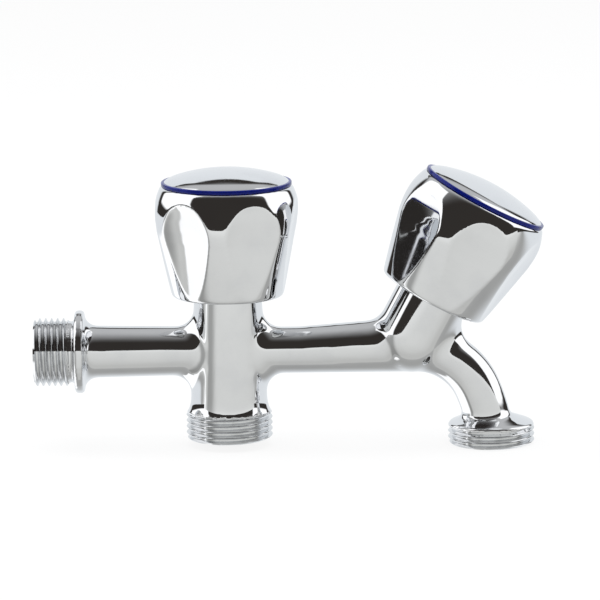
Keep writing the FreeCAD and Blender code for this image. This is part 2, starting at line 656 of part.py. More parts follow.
def make_gasket(valve):
    """Flat fibre gasket between the neck and the bonnet's hexagon."""
    inside = "(bonnet_thread_radius + gasket_gap)"
    turned(new_body(valve + "_bonnet_gasket", valve), valve + "_gasket_ring", [
        (inside, "0"),
        ("%s + gasket_width" % inside, "0"),
        ("%s + gasket_width" % inside, "gasket_thickness"),
        (inside, "gasket_thickness"),
    ])


def seal_heights():
    """Middle heights of the two rubber rings on a spindle."""
    return ["(%s + lower_seal_rise)" % COLLAR_ROOM_TOP, "(%s - upper_seal_drop)" % BONNET_TOP]


def seal_grooves():
    """Corners of the two ring grooves in a spindle, from below."""
    corners = []
    for height in seal_heights():
        low = "%s - seal_groove_depth / 2 - screw_gap / 2" % height
        high = "%s + seal_groove_depth / 2 + screw_gap / 2" % height
        bottom = "spindle_radius - seal_groove_depth"
        corners += [("spindle_radius", low), (bottom, low), (bottom, high), ("spindle_radius", high)]
    return corners


def make_spindle(valve):
    """Spindle: screwed tail, collar, two ring grooves, clip groove, splines, tapped end."""
    body = new_body(valve + "_spindle", valve)
    clip_groove = "spindle_radius - circlip_groove_depth"
    screw_hole = "knob_screw_radius + fit_gap"
    turned(body, valve + "_spindle_shaft", [
        ("0", TAIL_FOOT),
        ("screw_tail_radius", TAIL_FOOT),
        ("screw_tail_radius", COLLAR_FOOT),
        (COLLAR, COLLAR_FOOT),
        (COLLAR, COLLAR_TOP),
        ("spindle_radius", COLLAR_TOP),
    ] + seal_grooves() + [
        ("spindle_radius", "%s - fit_gap" % CLIP_FOOT),
        (clip_groove, "%s - fit_gap" % CLIP_FOOT),
        (clip_groove, "%s + fit_gap" % CLIP_TOP),
        ("spindle_radius", "%s + fit_gap" % CLIP_TOP),
        ("spindle_radius", "spindle_top"),
        (screw_hole, "spindle_top"),
        (screw_hole, "%s - screw_gap" % SCREW_FOOT),
        ("0", "%s - screw_gap" % SCREW_FOOT),
    ])
    mouth_half = "180 / spline_count * spline_share"
    notch = new_sketch(body, valve + "_spline_notch", "XY_Plane", up="spindle_top")
    draw(notch, [
        polar(SPLINE_ROOT, "spline_slope - %s" % mouth_half),
        polar("(spindle_radius + screw_gap)", "-%s" % mouth_half),
        polar("(spindle_radius + screw_gap)", mouth_half),
        polar(SPLINE_ROOT, "%s - spline_slope" % mouth_half),
    ])
    groove = prism(body, valve + "_spline", notch, "spindle_top - %s - fit_gap" % CLIP_TOP, cut=True)
    spread(body, valve + "_splines", groove, notch, "N_Axis", "spline_count")


def spread(body, name, feature, sketch, axis, count):
    """Repeat a feature evenly round an axis of its sketch."""
    pattern = body.newObject("PartDesign::PolarPattern", name)
    pattern.Originals = [feature]
    pattern.Axis = (sketch, [axis])
    pattern.Angle = 360
    pattern.setExpression("Occurrences", sized(count))
    body.Tip = pattern


def make_seals(valve):
    """The two rubber rings in the spindle's grooves, drawn as one node."""
    body = new_body(valve + "_spindle_seals", valve)
    thickness = "(seal_groove_depth - seal_play)"
    for name, height in zip(("lower", "upper"), seal_heights()):
        sketch = new_sketch(body, "%s_%s_seal_outline" % (valve, name))
        middle = "(spindle_radius - %s / 2)" % thickness
        place = FreeCAD.Vector(measure(middle), measure(height), 0)
        index = sketch.addGeometry(Part.Circle(place, FreeCAD.Vector(0, 0, 1), measure(thickness) / 2))
        bind(sketch, Sketcher.Constraint("DistanceX", -1, 1, index, 3, place.x), middle)
        bind(sketch, Sketcher.Constraint("DistanceY", -1, 1, index, 3, place.y), height)
        bind(sketch, Sketcher.Constraint("Radius", index, measure(thickness) / 2), "%s / 2" % thickness)
        ring = body.newObject("PartDesign::Revolution", "%s_%s_seal" % (valve, name))
        ring.Profile = sketch
        ring.ReferenceAxis = (sketch, ["V_Axis"])
        ring.Angle = 360


def make_circlip(valve):
    """Spring clip in the spindle's groove, open on one side."""
    body = new_body(valve + "_spindle_circlip", valve)
    inside = "spindle_radius - circlip_groove_depth + fit_gap"
    turned(body, valve + "_clip_ring", [
        (inside, CLIP_FOOT),
        ("circlip_radius", CLIP_FOOT),
        ("circlip_radius", CLIP_TOP),
        (inside, CLIP_TOP),
    ])
    opening = new_sketch(body, valve + "_clip_opening_outline", "XY_Plane", up=CLIP_TOP)
    draw(opening, [
        ("0", "-circlip_opening / 2"),
        ("circlip_radius + screw_gap", "-circlip_opening / 2"),
        ("circlip_radius + screw_gap", "circlip_opening / 2"),
        ("0", "circlip_opening / 2"),
    ])
    prism(body, valve + "_clip_opening", opening, "circlip_thickness", cut=True)


def make_plunger(valve):
    """Plunger: a hexagon that slides in the bonnet, bored for the spindle's tail, on a disc."""
    body = new_body(valve + "_plunger", valve)
    flats = new_sketch(body, valve + "_plunger_flats", "XY_Plane", up=PLUNGER_FOOT_TOP)
    draw_hexagon(flats, "plunger_across")
    prism(body, valve + "_plunger_hexagon", flats, "plunger_height")
    turned(body, valve + "_plunger_foot", [
        ("0", WASHER_TOP),
        (PLUNGER_FOOT, WASHER_TOP),
        (PLUNGER_FOOT, PLUNGER_FOOT_TOP),
        ("0", PLUNGER_FOOT_TOP),
    ])
    turned(body, valve + "_plunger_bore", [
        ("0", WASHER_TOP),
        ("washer_screw_radius + fit_gap", WASHER_TOP),
        ("washer_screw_radius + fit_gap", PLUNGER_FLOOR),
        ("screw_tail_radius + fit_gap", PLUNGER_FLOOR),
        ("screw_tail_radius + fit_gap", PLUNGER_TOP),
        ("0", PLUNGER_TOP),
    ], cut=True)


def make_washer(valve):
    """Rubber washer that shuts the seat."""
    turned(new_body(valve + "_seat_washer", valve), valve + "_washer_disc", [
        ("washer_screw_radius + snap_gap", WASHER_FOOT),
        (WASHER, WASHER_FOOT),
        (WASHER, WASHER_TOP),
        ("washer_screw_radius + snap_gap", WASHER_TOP),
    ])


def make_screw(label, valve, radius, foot, head_foot, head_top, head_radius, slot_up):
    """A slotted screw: plain shank at the thread's outside, and a flat head above or below."""
    body = new_body(label, valve)
    if slot_up:
        corners = [("0", foot), (radius, foot), (radius, head_foot), (head_radius, head_foot),
                   (head_radius, head_top), ("0", head_top)]
        slot_top = head_top
    else:
        corners = [("0", head_foot), (head_radius, head_foot), (head_radius, head_top),
                   (radius, head_top), (radius, foot), ("0", foot)]
        slot_top = "%s + driver_slot_depth" % head_foot
    turned(body, label + "_shank", corners)
    slot = new_sketch(body, label + "_slot_outline", "XY_Plane", up=slot_top)
    draw(slot, [
        ("-%s - screw_gap" % head_radius, "-driver_slot_width / 2"),
        ("%s + screw_gap" % head_radius, "-driver_slot_width / 2"),
        ("%s + screw_gap" % head_radius, "driver_slot_width / 2"),
        ("-%s - screw_gap" % head_radius, "driver_slot_width / 2"),
    ])
    prism(body, label + "_slot", slot, "driver_slot_depth", cut=True)


def make_knob(valve):
    """Knob: turned shell with a boss, six arch-topped flats and a splined hole."""
    body = new_body(valve + "_knob", valve)
    foot = "-knob_foot_drop"
    skirt_top = "%s - knob_web" % WELL_FLOOR
    inside = "knob_hip_radius - knob_hip_wall"
    turned(body, valve + "_knob_shell", [
        ("knob_foot_radius - knob_foot_wall", foot),
        ("knob_foot_radius - knob_foot_round", foot, "knob_foot_round", "left"),
        ("knob_foot_radius", "knob_foot_round - knob_foot_drop"),
        ("knob_hip_radius", "knob_hip_height", "knob_shoulder_bend", "left"),
        ("knob_top_radius", "%s - knob_top_edge" % KNOB_TOP),
        ("knob_top_radius - knob_top_edge", KNOB_TOP),
        ("well_radius", KNOB_TOP),
        ("well_radius", WELL_FLOOR),
        ("knob_screw_head_radius + head_room", WELL_FLOOR),
        ("knob_screw_head_radius + head_room", SCREW_SEAT),
        ("knob_screw_radius + screw_gap", SCREW_SEAT),
        ("knob_screw_radius + screw_gap", SPLINE_TOP),
        ("%s + fit_gap" % SPLINE_ROOT, SPLINE_TOP),
        ("%s + fit_gap" % SPLINE_ROOT, BOSS_FOOT),
        ("boss_radius", BOSS_FOOT),
        ("boss_radius", skirt_top),
        (inside, skirt_top),
        (inside, "knob_hip_height"),
    ])
    knob_facets(body, valve)
    knob_splines(body, valve)


def knob_facets(body, valve):
    """Cut the flats: each follows the knob's contour and ends in an arch under the shoulder."""
    outside = "(knob_hip_radius + knob_shoulder_bend)"
    arch_top = "%s - facet_arch_drop" % KNOB_TOP
    flat = new_sketch(body, valve + "_facet_outline")
    turn = FreeCAD.Rotation(FreeCAD.Vector(0, 1, 0), measure(valve + "_knob_turn"))
    flat.AttachmentOffset = FreeCAD.Placement(FreeCAD.Vector(0, 0, 0), turn)
    flat.setExpression("AttachmentOffset.Rotation.Angle", sized(valve + "_knob_turn * 1 deg"))
    foot = "(knob_foot_radius - facet_foot_cut)"
    middle = "(knob_hip_radius - facet_middle_cut)"
    slope = "(%s - %s) / (facet_middle_height + knob_foot_drop)" % (middle, foot)
    draw(flat, [
        ("%s - knob_foot_round * %s" % (foot, slope), "-knob_foot_drop - knob_foot_round"),
        (outside, "-knob_foot_drop - knob_foot_round"),
        (outside, arch_top),
        ("knob_hip_radius - facet_top_cut", arch_top, "facet_bend", "right"),
        (middle, "facet_middle_height"),
    ])
    cut = body.newObject("PartDesign::Pocket", valve + "_facet")
    cut.Profile = flat
    cut.SideType = "Symmetric"
    cut.setExpression("Length", sized("2 * knob_hip_radius"))
    spread(body, valve + "_facets", cut, flat, "V_Axis", "facet_count")


def knob_splines(body, valve):
    """Cut the grooves in the knob's hole that the spindle's splines fit, half a pitch round."""
    half_pitch = "180 / spline_count"
    tooth_half = "%s * (1 - spline_share) + spline_play" % half_pitch
    root_half = "(%s + spline_slope)" % tooth_half
    tip_share = "(screw_gap - fit_gap) / (screw_gap + spline_depth)"
    tip_half = "(%s + spline_slope * %s)" % (tooth_half, tip_share)
    notch = new_sketch(body, valve + "_knob_notch", "XY_Plane", up=SPLINE_TOP)
    draw(notch, [
        polar(SPLINE_ROOT, "%s - %s" % (half_pitch, root_half)),
        polar(SHAFT_HOLE, "%s - %s" % (half_pitch, tip_half)),
        polar(SHAFT_HOLE, "%s + %s" % (half_pitch, tip_half)),
        polar(SPLINE_ROOT, "%s + %s" % (half_pitch, root_half)),
    ])
    groove = prism(body, valve + "_knob_spline", notch, "%s - %s" % (SPLINE_TOP, BOSS_FOOT), cut=True)
    spread(body, valve + "_knob_splines", groove, notch, "N_Axis", "spline_count")


def make_index_ring(valve):
    """Coloured ring between the knob and its cap."""
    turned(new_body(valve + "_index_ring", valve), valve + "_ring_band", [
        ("well_radius + snap_gap", KNOB_TOP),
        ("ring_radius", KNOB_TOP),
        ("ring_radius", CAP_FOOT),
        ("well_radius + snap_gap", CAP_FOOT),
    ])


def make_cap(valve):
    """Domed cap with a round edge and a skirt that snaps into the knob's well."""
    dome = "((cap_radius ^ 2 + cap_rise ^ 2) / (2 * cap_rise))"
    skirt = "(well_radius - snap_gap)"
    skirt_inside = "(%s - cap_skirt_wall)" % skirt
    hollow = "(%s - cap_wall)" % dome
    dome_centre = "(%s + cap_rise - %s)" % (CAP_RIM, dome)
    turned(new_body(valve + "_index_cap", valve), valve + "_cap_dome", [
        (skirt_inside, "%s + cap_floor_gap" % WELL_FLOOR),
        (skirt, "%s + cap_floor_gap" % WELL_FLOOR),
        (skirt, CAP_FOOT),
        ("cap_radius", CAP_FOOT, "cap_rim_bend", "left"),
        ("cap_radius", CAP_RIM, dome, "left"),
        ("0", "%s + cap_rise" % CAP_RIM),
        ("0", "%s + cap_rise - cap_wall" % CAP_RIM, hollow, "right"),
        (skirt_inside, "%s + sqrt(%s ^ 2 - %s ^ 2)" % (dome_centre, hollow, skirt_inside)),
    ])


def make_valve(valve):
    """Everything in and on one neck."""
    make_bonnet(valve)
    make_gasket(valve)
    make_spindle(valve)
    make_seals(valve)
    make_circlip(valve)
    make_plunger(valve)
    make_washer(valve)
    make_screw(valve + "_washer_screw", valve, "washer_screw_radius", "%s - screw_gap" % PLUNGER_FLOOR,
               "(%s - washer_screw_head_height)" % WASHER_FOOT, WASHER_FOOT,
               "washer_screw_head_radius", slot_up=False)
    make_knob(valve)
    make_screw(valve + "_knob_screw", valve, "knob_screw_radius", SCREW_FOOT, SCREW_SEAT,
               "(%s + knob_screw_head_height)" % SCREW_SEAT, "knob_screw_head_radius", slot_up=True)
    make_index_ring(valve)
    make_cap(valve)


def write_parts():
    """Check every object, then write one file for each piece."""
    failed = [item.Label for item in doc.Objects if {"Invalid", "Error"} & set(item.State)]
    if failed:
        raise RuntimeError("not built: " + ", ".join(failed))
    bodies = [item for item in doc.Objects if item.TypeId == "PartDesign::Body"]
    for body in bodies:
        if body.Shape.isNull() or not body.Shape.isValid():
            raise RuntimeError("bad shape: " + body.Label)
    os.makedirs("parts", exist_ok=True)
    for body in bodies:
        body.Shape.exportStep("parts/%s.step" % body.Label)
        print("%-26s %2d solid %9.1f mm3" % (body.Label, len(body.Shape.Solids), body.Shape.Volume))


doc = FreeCAD.newDocument("wall_tap")
sheet = doc.addObject("Spreadsheet::Sheet", "sizes")
fill_sheet()
make_casting()
make_valve("upright")
make_valve("angled")
doc.recompute()
write_parts()
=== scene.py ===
# %% [markdown]
# A chrome double tap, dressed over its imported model.
# The frame brings in the tap's solids. The chrome skin of the casting, the threads, the knobs and
# their caps are modelled here and ride on the bodies that carry them, so the knobs still turn. The
# scene is in metres. Outlines are drawn in millimetres, because a tap is measured in them.

# %% Load the frame
import json
import math

import bmesh
import bpy
from mathutils import Matrix, Vector

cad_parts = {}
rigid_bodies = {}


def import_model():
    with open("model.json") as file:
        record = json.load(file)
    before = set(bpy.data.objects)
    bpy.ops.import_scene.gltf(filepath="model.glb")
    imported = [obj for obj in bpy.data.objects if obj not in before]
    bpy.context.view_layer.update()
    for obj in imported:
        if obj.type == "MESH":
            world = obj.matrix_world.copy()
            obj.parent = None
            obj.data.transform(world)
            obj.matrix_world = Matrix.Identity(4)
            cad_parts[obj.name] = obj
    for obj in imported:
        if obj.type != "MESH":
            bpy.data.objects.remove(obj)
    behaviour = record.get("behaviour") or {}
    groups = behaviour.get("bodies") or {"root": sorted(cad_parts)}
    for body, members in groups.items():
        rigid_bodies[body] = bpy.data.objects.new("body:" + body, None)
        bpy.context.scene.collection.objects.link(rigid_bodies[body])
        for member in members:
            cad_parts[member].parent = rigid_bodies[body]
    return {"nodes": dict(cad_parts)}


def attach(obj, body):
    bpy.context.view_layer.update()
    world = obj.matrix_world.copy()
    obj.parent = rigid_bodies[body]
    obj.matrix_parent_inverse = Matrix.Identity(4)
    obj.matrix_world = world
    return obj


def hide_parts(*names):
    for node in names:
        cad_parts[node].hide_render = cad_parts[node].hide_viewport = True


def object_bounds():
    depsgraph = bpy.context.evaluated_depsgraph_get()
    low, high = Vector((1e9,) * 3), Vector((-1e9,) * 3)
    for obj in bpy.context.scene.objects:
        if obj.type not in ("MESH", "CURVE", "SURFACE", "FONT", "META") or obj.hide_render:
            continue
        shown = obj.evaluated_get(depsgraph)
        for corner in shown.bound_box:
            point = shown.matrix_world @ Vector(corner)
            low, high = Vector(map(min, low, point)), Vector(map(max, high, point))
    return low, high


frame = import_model()
cad_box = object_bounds()
MM = 0.001
print("frame loaded:", len(frame["nodes"]), "pieces")

# %% [markdown]
# The camera stands where the photographer stood: straight in front of the tap, a little above it,
# and far away, so that the two knobs look equally large. A long lens keeps the drawing flat. The
# small roll is the photographer's, whose tap leans a hair to the left.

# %% Camera
PHOTO_SIDE = 600
PIXELS_PER_MM = 3.2729
CAMERA_DISTANCE, FARTHEST = 1.3, 20
AIM = Vector((0.06902, 0, 0.0154))
AZIMUTH, ELEVATION, ROLL = 0.2, 10.5, -0.62


def look_from(azimuth, elevation, roll):
    """Turn a camera's own axes to a direction, all in degrees."""
    sideways = Matrix.Rotation(math.radians(azimuth), 3, "Z")
    upwards = Matrix.Rotation(math.radians(90 - elevation), 3, "X")
    return sideways @ upwards @ Matrix.Rotation(math.radians(roll), 3, "Z")


turn = look_from(AZIMUTH, ELEVATION, ROLL)
stand = AIM + turn @ Vector((0, 0, CAMERA_DISTANCE))
bpy.ops.object.camera_add(location=stand, rotation=turn.to_euler())
camera = bpy.context.object
camera.data.lens = PIXELS_PER_MM * CAMERA_DISTANCE / MM / PHOTO_SIDE * camera.data.sensor_width
camera.data.clip_end = FARTHEST
bpy.context.scene.camera = camera
bpy.context.scene.view_settings.view_transform = "Standard"
print("lens", round(camera.data.lens, 1), "mm")

# %% [markdown]
# Materials and the world are trees of nodes. By hand they are dragged and wired in the node editor;
# in a script the same few calls come again and again, so this helper gives them short names. Its
# ramps rise and fall smoothly, because a lamp or a sheet of paper never ends in a perfect line.

# %% Helper: short calls for node trees
class Nodes:
    """A node tree with short calls to add and join nodes."""

    def __init__(self, tree):
        self.tree = tree

    def add(self, kind, **settings):
        node = self.tree.nodes.new(kind)
        for name, value in settings.items():
            setattr(node, name, value)
        return node

    def join(self, source, target):
        self.tree.links.new(source, target)

    def math(self, operation, first, second=None):
        node = self.add("ShaderNodeMath", operation=operation)
        for socket, value in zip(node.inputs, (first, second)):
            if isinstance(value, (int, float)):
                socket.default_value = value
            elif value is not None:
                self.join(value, socket)
        return node.outputs[0]

    def times(self, *values):
        product = values[0]
        for value in values[1:]:
            product = self.math("MULTIPLY", product, value)
        return product

    def ramp(self, value, low, high, first=0.0, last=1.0):
        """From the first number to the last, while the value goes from low to high."""
        node = self.add("ShaderNodeMapRange", interpolation_type="SMOOTHSTEP")
        self.join(value, node.inputs["Value"])
        for name, number in (("From Min", low), ("From Max", high), ("To Min", first), ("To Max", last)):
            node.inputs[name].default_value = number
        return node.outputs["Result"]

    def band(self, value, low, high, soft):
        """One between two limits and zero outside them, with soft edges."""
        rising = self.ramp(value, low - soft / 2, low + soft / 2)
        return self.times(rising, self.ramp(value, high + soft / 2, high - soft / 2))

    def blend(self, share, first, second):
        """A colour mixed from two, each a constant or a link."""
        node = self.add("ShaderNodeMix", data_type="RGBA")
        self.join(share, node.inputs["Factor"])
        for socket, value in ((node.inputs["A"], first), (node.inputs["B"], second)):
            if isinstance(value, tuple):
                socket.default_value = (*value, 1)
            else:
                self.join(value, socket)
        return node.outputs["Result"]

    def angle_from_front(self, away, depth):
        """Degrees from the front (0) past the side, the zenith or the nadir (90) to the back (180)."""
        turn = self.math("ARCTAN2", self.math("ABSOLUTE", away), self.times(depth, -1.0))
        return self.times(turn, 180 / math.pi)

    def end(self, kind, surface):
        """Join a surface to a new output node."""
        self.join(surface, self.add(kind).inputs["Surface"])


def fresh_tree(owner):
    """The empty node tree of a world or a material."""
    owner.use_nodes = True
    owner.node_tree.nodes.clear()
    return Nodes(owner.node_tree)


# %% [markdown]
# Chrome shows nothing but the room around it, so the room is half of this picture. The photograph
# was taken on white paper that runs up behind the tap. A bright panel stands at each side, a dim
# grey one hangs overhead, and all else is dark. Real lamps and boards could stand for each of them,
# but painted on the world by direction they are easier to move and to soften. Three angles place
# them: round the upright axis, above the horizon, and over the top from the front, which is how a
# level pipe sees the room.

# %% The upper half of the room
DARK = (0.036, 0.032, 0.029)
OVERHEAD = (0.56, 0.565, 0.57)
PANEL = (1.3, 1.3, 1.3)
PAPER_BACK = (0.86, 0.89, 0.915)
LEFT_PANEL_START, RIGHT_PANEL_START, PANELS_END = 64, 74, 132
PANEL_FOOT, PANEL_HEAD, PANEL_SOFTNESS = 4.5, 62, 3
OVERHEAD_START, OVERHEAD_FULL, OVERHEAD_FADES, OVERHEAD_END = 48, 108, 132, 141
OVERHEAD_LOW, OVERHEAD_HIGH = 8, 40
BACKDROP_START, BACKDROP_FULL, BACKDROP_HEAD = 139, 146, 35
MIDDLE_SOFTNESS, SIDE_SOFTNESS, HEAD_SOFTNESS = 0.02, 2, 0.5

world = bpy.data.worlds.new("white_cove")
bpy.context.scene.world = world
sky = fresh_tree(world)
split = sky.add("ShaderNodeSeparateXYZ")
sky.join(sky.add("ShaderNodeTexCoord").outputs["Generated"], split.inputs[0])
side, depth, height = split.outputs
around = sky.angle_from_front(side, depth)
over = sky.angle_from_front(height, depth)
rise = sky.times(sky.math("ARCSINE", height), 180 / math.pi)

overhead = sky.times(sky.ramp(over, OVERHEAD_START, OVERHEAD_FULL),
                     sky.ramp(over, OVERHEAD_END, OVERHEAD_FADES),
                     sky.ramp(rise, OVERHEAD_LOW, OVERHEAD_HIGH))
colour = sky.blend(overhead, DARK, OVERHEAD)
to_the_right = sky.ramp(side, -MIDDLE_SOFTNESS, MIDDLE_SOFTNESS)
panel_start = sky.ramp(to_the_right, 0, 1, LEFT_PANEL_START, RIGHT_PANEL_START)
panels = sky.times(sky.ramp(sky.math("SUBTRACT", around, panel_start), -SIDE_SOFTNESS, SIDE_SOFTNESS),
                   sky.ramp(around, PANELS_END + SIDE_SOFTNESS, PANELS_END - SIDE_SOFTNESS),
                   sky.band(rise, PANEL_FOOT, PANEL_HEAD, PANEL_SOFTNESS))
colour = sky.blend(panels, colour, PANEL)
behind = sky.ramp(around, BACKDROP_START, BACKDROP_FULL)
below_head = sky.ramp(rise, BACKDROP_HEAD + HEAD_SOFTNESS, BACKDROP_HEAD - HEAD_SOFTNESS)
backdrop = sky.times(behind, below_head)
colour = sky.blend(backdrop, colour, PAPER_BACK)
print("room:", len(world.node_tree.nodes), "nodes above the horizon")

# %% [markdown]
# Below the horizon lies the paper: bright in front, grey right under the tap, which shades it, and
# cooler towards the back. At the left a bright flank carries on the side panel. The paper's edge
# lies lower in front than at the sides. The dark above the edge is what the shoulders of the knobs
# mirror, so it draws their arches. An image could be wrapped round the world instead, but a few
# angles are easier to adjust against the photograph. The camera itself sees plain white.

# %% The lower half of the room
PAPER_FRONT = (0.90, 0.905, 0.885)
PAPER_UNDER = (0.42, 0.42, 0.41)
SHADE_START, SHADE_FULL, SHADE_FADES, SHADE_END = 10, 88, 92, 150
FLANK_START, FLANK_FADES, FLANK_END = 77, 140, 150
FLANK_FOOT, FLANK_HEAD, FLANK_SOFTNESS = -62, -17, 5
FRONT_EDGE, SIDE_EDGE, EDGE_SOFTNESS = -12.5, -4.3, 0.3
EDGE_RISES, EDGE_LEVELS = 60, 76
HORIZON_SOFTNESS = 0.2

sheet = sky.blend(sky.ramp(over, SHADE_START, SHADE_FULL), PAPER_FRONT, PAPER_UNDER)
sheet = sky.blend(sky.ramp(over, SHADE_FADES, SHADE_END), sheet, PAPER_BACK)
flank = sky.times(sky.ramp(side, MIDDLE_SOFTNESS, -MIDDLE_SOFTNESS),
                  sky.ramp(around, FLANK_START - SIDE_SOFTNESS, FLANK_START + SIDE_SOFTNESS),
                  sky.band(rise, FLANK_FOOT, FLANK_HEAD, FLANK_SOFTNESS),
                  sky.ramp(around, FLANK_END, FLANK_FADES))
sheet = sky.blend(flank, sheet, PANEL)
sheet_end = sky.ramp(around, EDGE_RISES, EDGE_LEVELS, FRONT_EDGE, SIDE_EDGE)
below_end = sky.ramp(sky.math("SUBTRACT", rise, sheet_end), EDGE_SOFTNESS, -EDGE_SOFTNESS)
below_backdrop = sky.times(behind, sky.ramp(rise, HORIZON_SOFTNESS, -HORIZON_SOFTNESS))
colour = sky.blend(sky.math("MAXIMUM", below_end, below_backdrop), colour, sheet)
camera_ray = sky.add("ShaderNodeLightPath").outputs["Is Camera Ray"]
light = sky.add("ShaderNodeBackground")
sky.join(sky.blend(camera_ray, colour, (1.0, 1.0, 1.0)), light.inputs["Color"])
sky.end("ShaderNodeOutputWorld", light.outputs[0])
print("room:", len(world.node_tree.nodes), "nodes in all")

# %% [markdown]
# The floor is plain and pale and carries the soft shadow under the tap. It could be a shadow catcher,
# but a real floor also throws light up at the tap. To the camera it mostly glows, which lifts it to
# the white of the world and leaves a faint shadow. Only the camera and the light see it: to the
# chrome, the painted paper takes its place.

# %% Floor
FLOOR_SIDE, FLOOR_GAP = 14, 0.05 * MM
FLOOR_DARKER, FLOOR_LIGHTER = (0.85, 0.85, 0.86), (0.87, 0.87, 0.88)
GRAIN_SCALE, FLOOR_GLOW = 40, 0.88
floor_level = cad_box[0][2] - FLOOR_GAP
bpy.ops.object.select_all(action="DESELECT")
bpy.ops.mesh.primitive_plane_add(size=FLOOR_SIDE, location=(AIM.x, 0, floor_level))
floor = bpy.context.object
floor.name = "floor"
floor.visible_glossy = False

floor_paint = bpy.data.materials.new("pale_floor")
ground = fresh_tree(floor_paint)
grain = ground.add("ShaderNodeTexNoise")
grain.inputs["Scale"].default_value = GRAIN_SCALE
ground.join(ground.add("ShaderNodeTexCoord").outputs["Object"], grain.inputs["Vector"])
pale = ground.blend(grain.outputs["Fac"], FLOOR_DARKER, FLOOR_LIGHTER)
matt = ground.add("ShaderNodeBsdfDiffuse")
ground.join(pale, matt.inputs["Color"])
glow = ground.add("ShaderNodeEmission")
glow.inputs["Color"].default_value = (1.0, 1.0, 1.0, 1)
camera_ray = ground.add("ShaderNodeLightPath").outputs["Is Camera Ray"]
mix = ground.add("ShaderNodeMixShader")
ground.join(ground.times(camera_ray, FLOOR_GLOW), mix.inputs["Fac"])
ground.join(matt.outputs[0], mix.inputs[1])
ground.join(glow.outputs[0], mix.inputs[2])
ground.end("ShaderNodeOutputMaterial", mix.outputs[0])
floor.data.materials.append(floor_paint)
print("floor at", round(floor_level / MM, 2), "mm")

# %% [markdown]
# Photographers set a white card in front of chrome to fill its lower half. This one stands so close
# that its upper edge lies above the horizon for the pipes and below it for the tops of the knobs. An
# edge painted on the world, which is infinitely far away, would be equally high for both, so the
# card is a real plane. Only reflections see it. It is whitest along its upper edge and greyer
# towards its foot, with a soft grey patch left of its middle and bright light at its left end.

# %% White card
CARD_DISTANCE, CARD_TOP, CARD_WIDTH, CARD_HEIGHT = 0.098, 0.0236, 1.0, 0.3
CARD_FOOT_TONE = (0.6, 0.6, 0.58)
CARD_TONE = (0.8, 0.805, 0.785)
CARD_EDGE_TONE = (0.92, 0.925, 0.905)
CARD_PATCH_TONE = (0.15, 0.15, 0.145)
CARD_FOOT_AT = -0.18
CARD_EDGE_START, CARD_EDGE_FULL = -0.025, 0.005
PATCH_LEFT, PATCH_RIGHT, PATCH_SOFTNESS, PATCH_STRENGTH = -0.26, -0.12, 0.08, 0.6
BRIGHT_END_START, BRIGHT_END_FULL = -0.345, -0.37

card_paint = bpy.data.materials.new("white_card")
board = fresh_tree(card_paint)
spot = board.add("ShaderNodeSeparateXYZ")
board.join(board.add("ShaderNodeTexCoord").outputs["Object"], spot.inputs[0])
along, up = spot.outputs[0], spot.outputs[1]
tone = board.blend(board.ramp(up, CARD_FOOT_AT, 0.0), CARD_FOOT_TONE, CARD_TONE)
tone = board.blend(board.ramp(up, CARD_EDGE_START, CARD_EDGE_FULL), tone, CARD_EDGE_TONE)
patch = board.times(board.band(along, PATCH_LEFT, PATCH_RIGHT, PATCH_SOFTNESS), PATCH_STRENGTH)
tone = board.blend(patch, tone, CARD_PATCH_TONE)
tone = board.blend(board.ramp(along, BRIGHT_END_START, BRIGHT_END_FULL), tone, PANEL)
shine = board.add("ShaderNodeEmission")
board.join(tone, shine.inputs["Color"])
board.end("ShaderNodeOutputMaterial", shine.outputs[0])

bpy.ops.object.select_all(action="DESELECT")
bpy.ops.mesh.primitive_plane_add(size=1, location=(0, 0, 0))
card = bpy.context.object
card.name = "reflector_card"
bpy.ops.object.mode_set(mode="EDIT")
bpy.ops.transform.resize(value=(CARD_WIDTH, CARD_HEIGHT, 1))
bpy.ops.transform.translate(value=(0, -CARD_HEIGHT / 2, 0))
bpy.ops.object.mode_set(mode="OBJECT")
card.rotation_euler = (math.radians(90), 0, 0)
card.location = (AIM.x, -CARD_DISTANCE, CARD_TOP)
card.visible_camera = card.visible_diffuse = card.visible_shadow = card.visible_transmission = False
card.data.materials.append(card_paint)
print("card's upper edge at", round(CARD_TOP / MM, 1), "mm")

# %% [markdown]
# One large soft lamp overhead lights the matt pieces and the floor. The world alone could light them,
# but the lamp deepens the soft shadow under the tap. Reflections don't see it, so it draws no hard
# patch in the chrome.

# %% Lamp
LAMP_FORWARD, LAMP_HEIGHT, LAMP_SIZE, LAMP_POWER = 0.1, 1.1, 1.6, 21
bpy.ops.object.light_add(type="AREA", location=(AIM.x, -LAMP_FORWARD, LAMP_HEIGHT))
lamp = bpy.context.object
lamp.data.size = LAMP_SIZE
lamp.data.energy = LAMP_POWER
lamp.visible_glossy = False
print("lamp:", LAMP_POWER, "watts over", LAMP_SIZE, "metres")

# %% [markdown]
# Every finish shares one effect: the faint marks of polishing and handling. Each material could have
# its own noise, but one node group with named inputs keeps them alike, and each material still sets
# how coarse and how strong its marks are. The group puts out a roughness, a mask and a height,
# which the material joins to its own shader. It has two layers, soft smudges and fine hairlines.

# %% Shared effect: handling marks
SMUDGE_DETAIL, SMUDGE_FROM, SMUDGE_TO = 5, 0.42, 0.72
HAIRLINE_SCALE, HAIRLINE_DETAIL, HAIRLINE_STRETCH = 900, 3, 7.0


def socket(tree, name, kind, direction, value=None):
    """Give a node group a named input or output."""
    item = tree.interface.new_socket(name=name, in_out=direction, socket_type=kind)
    if value is not None:
        item.default_value = value


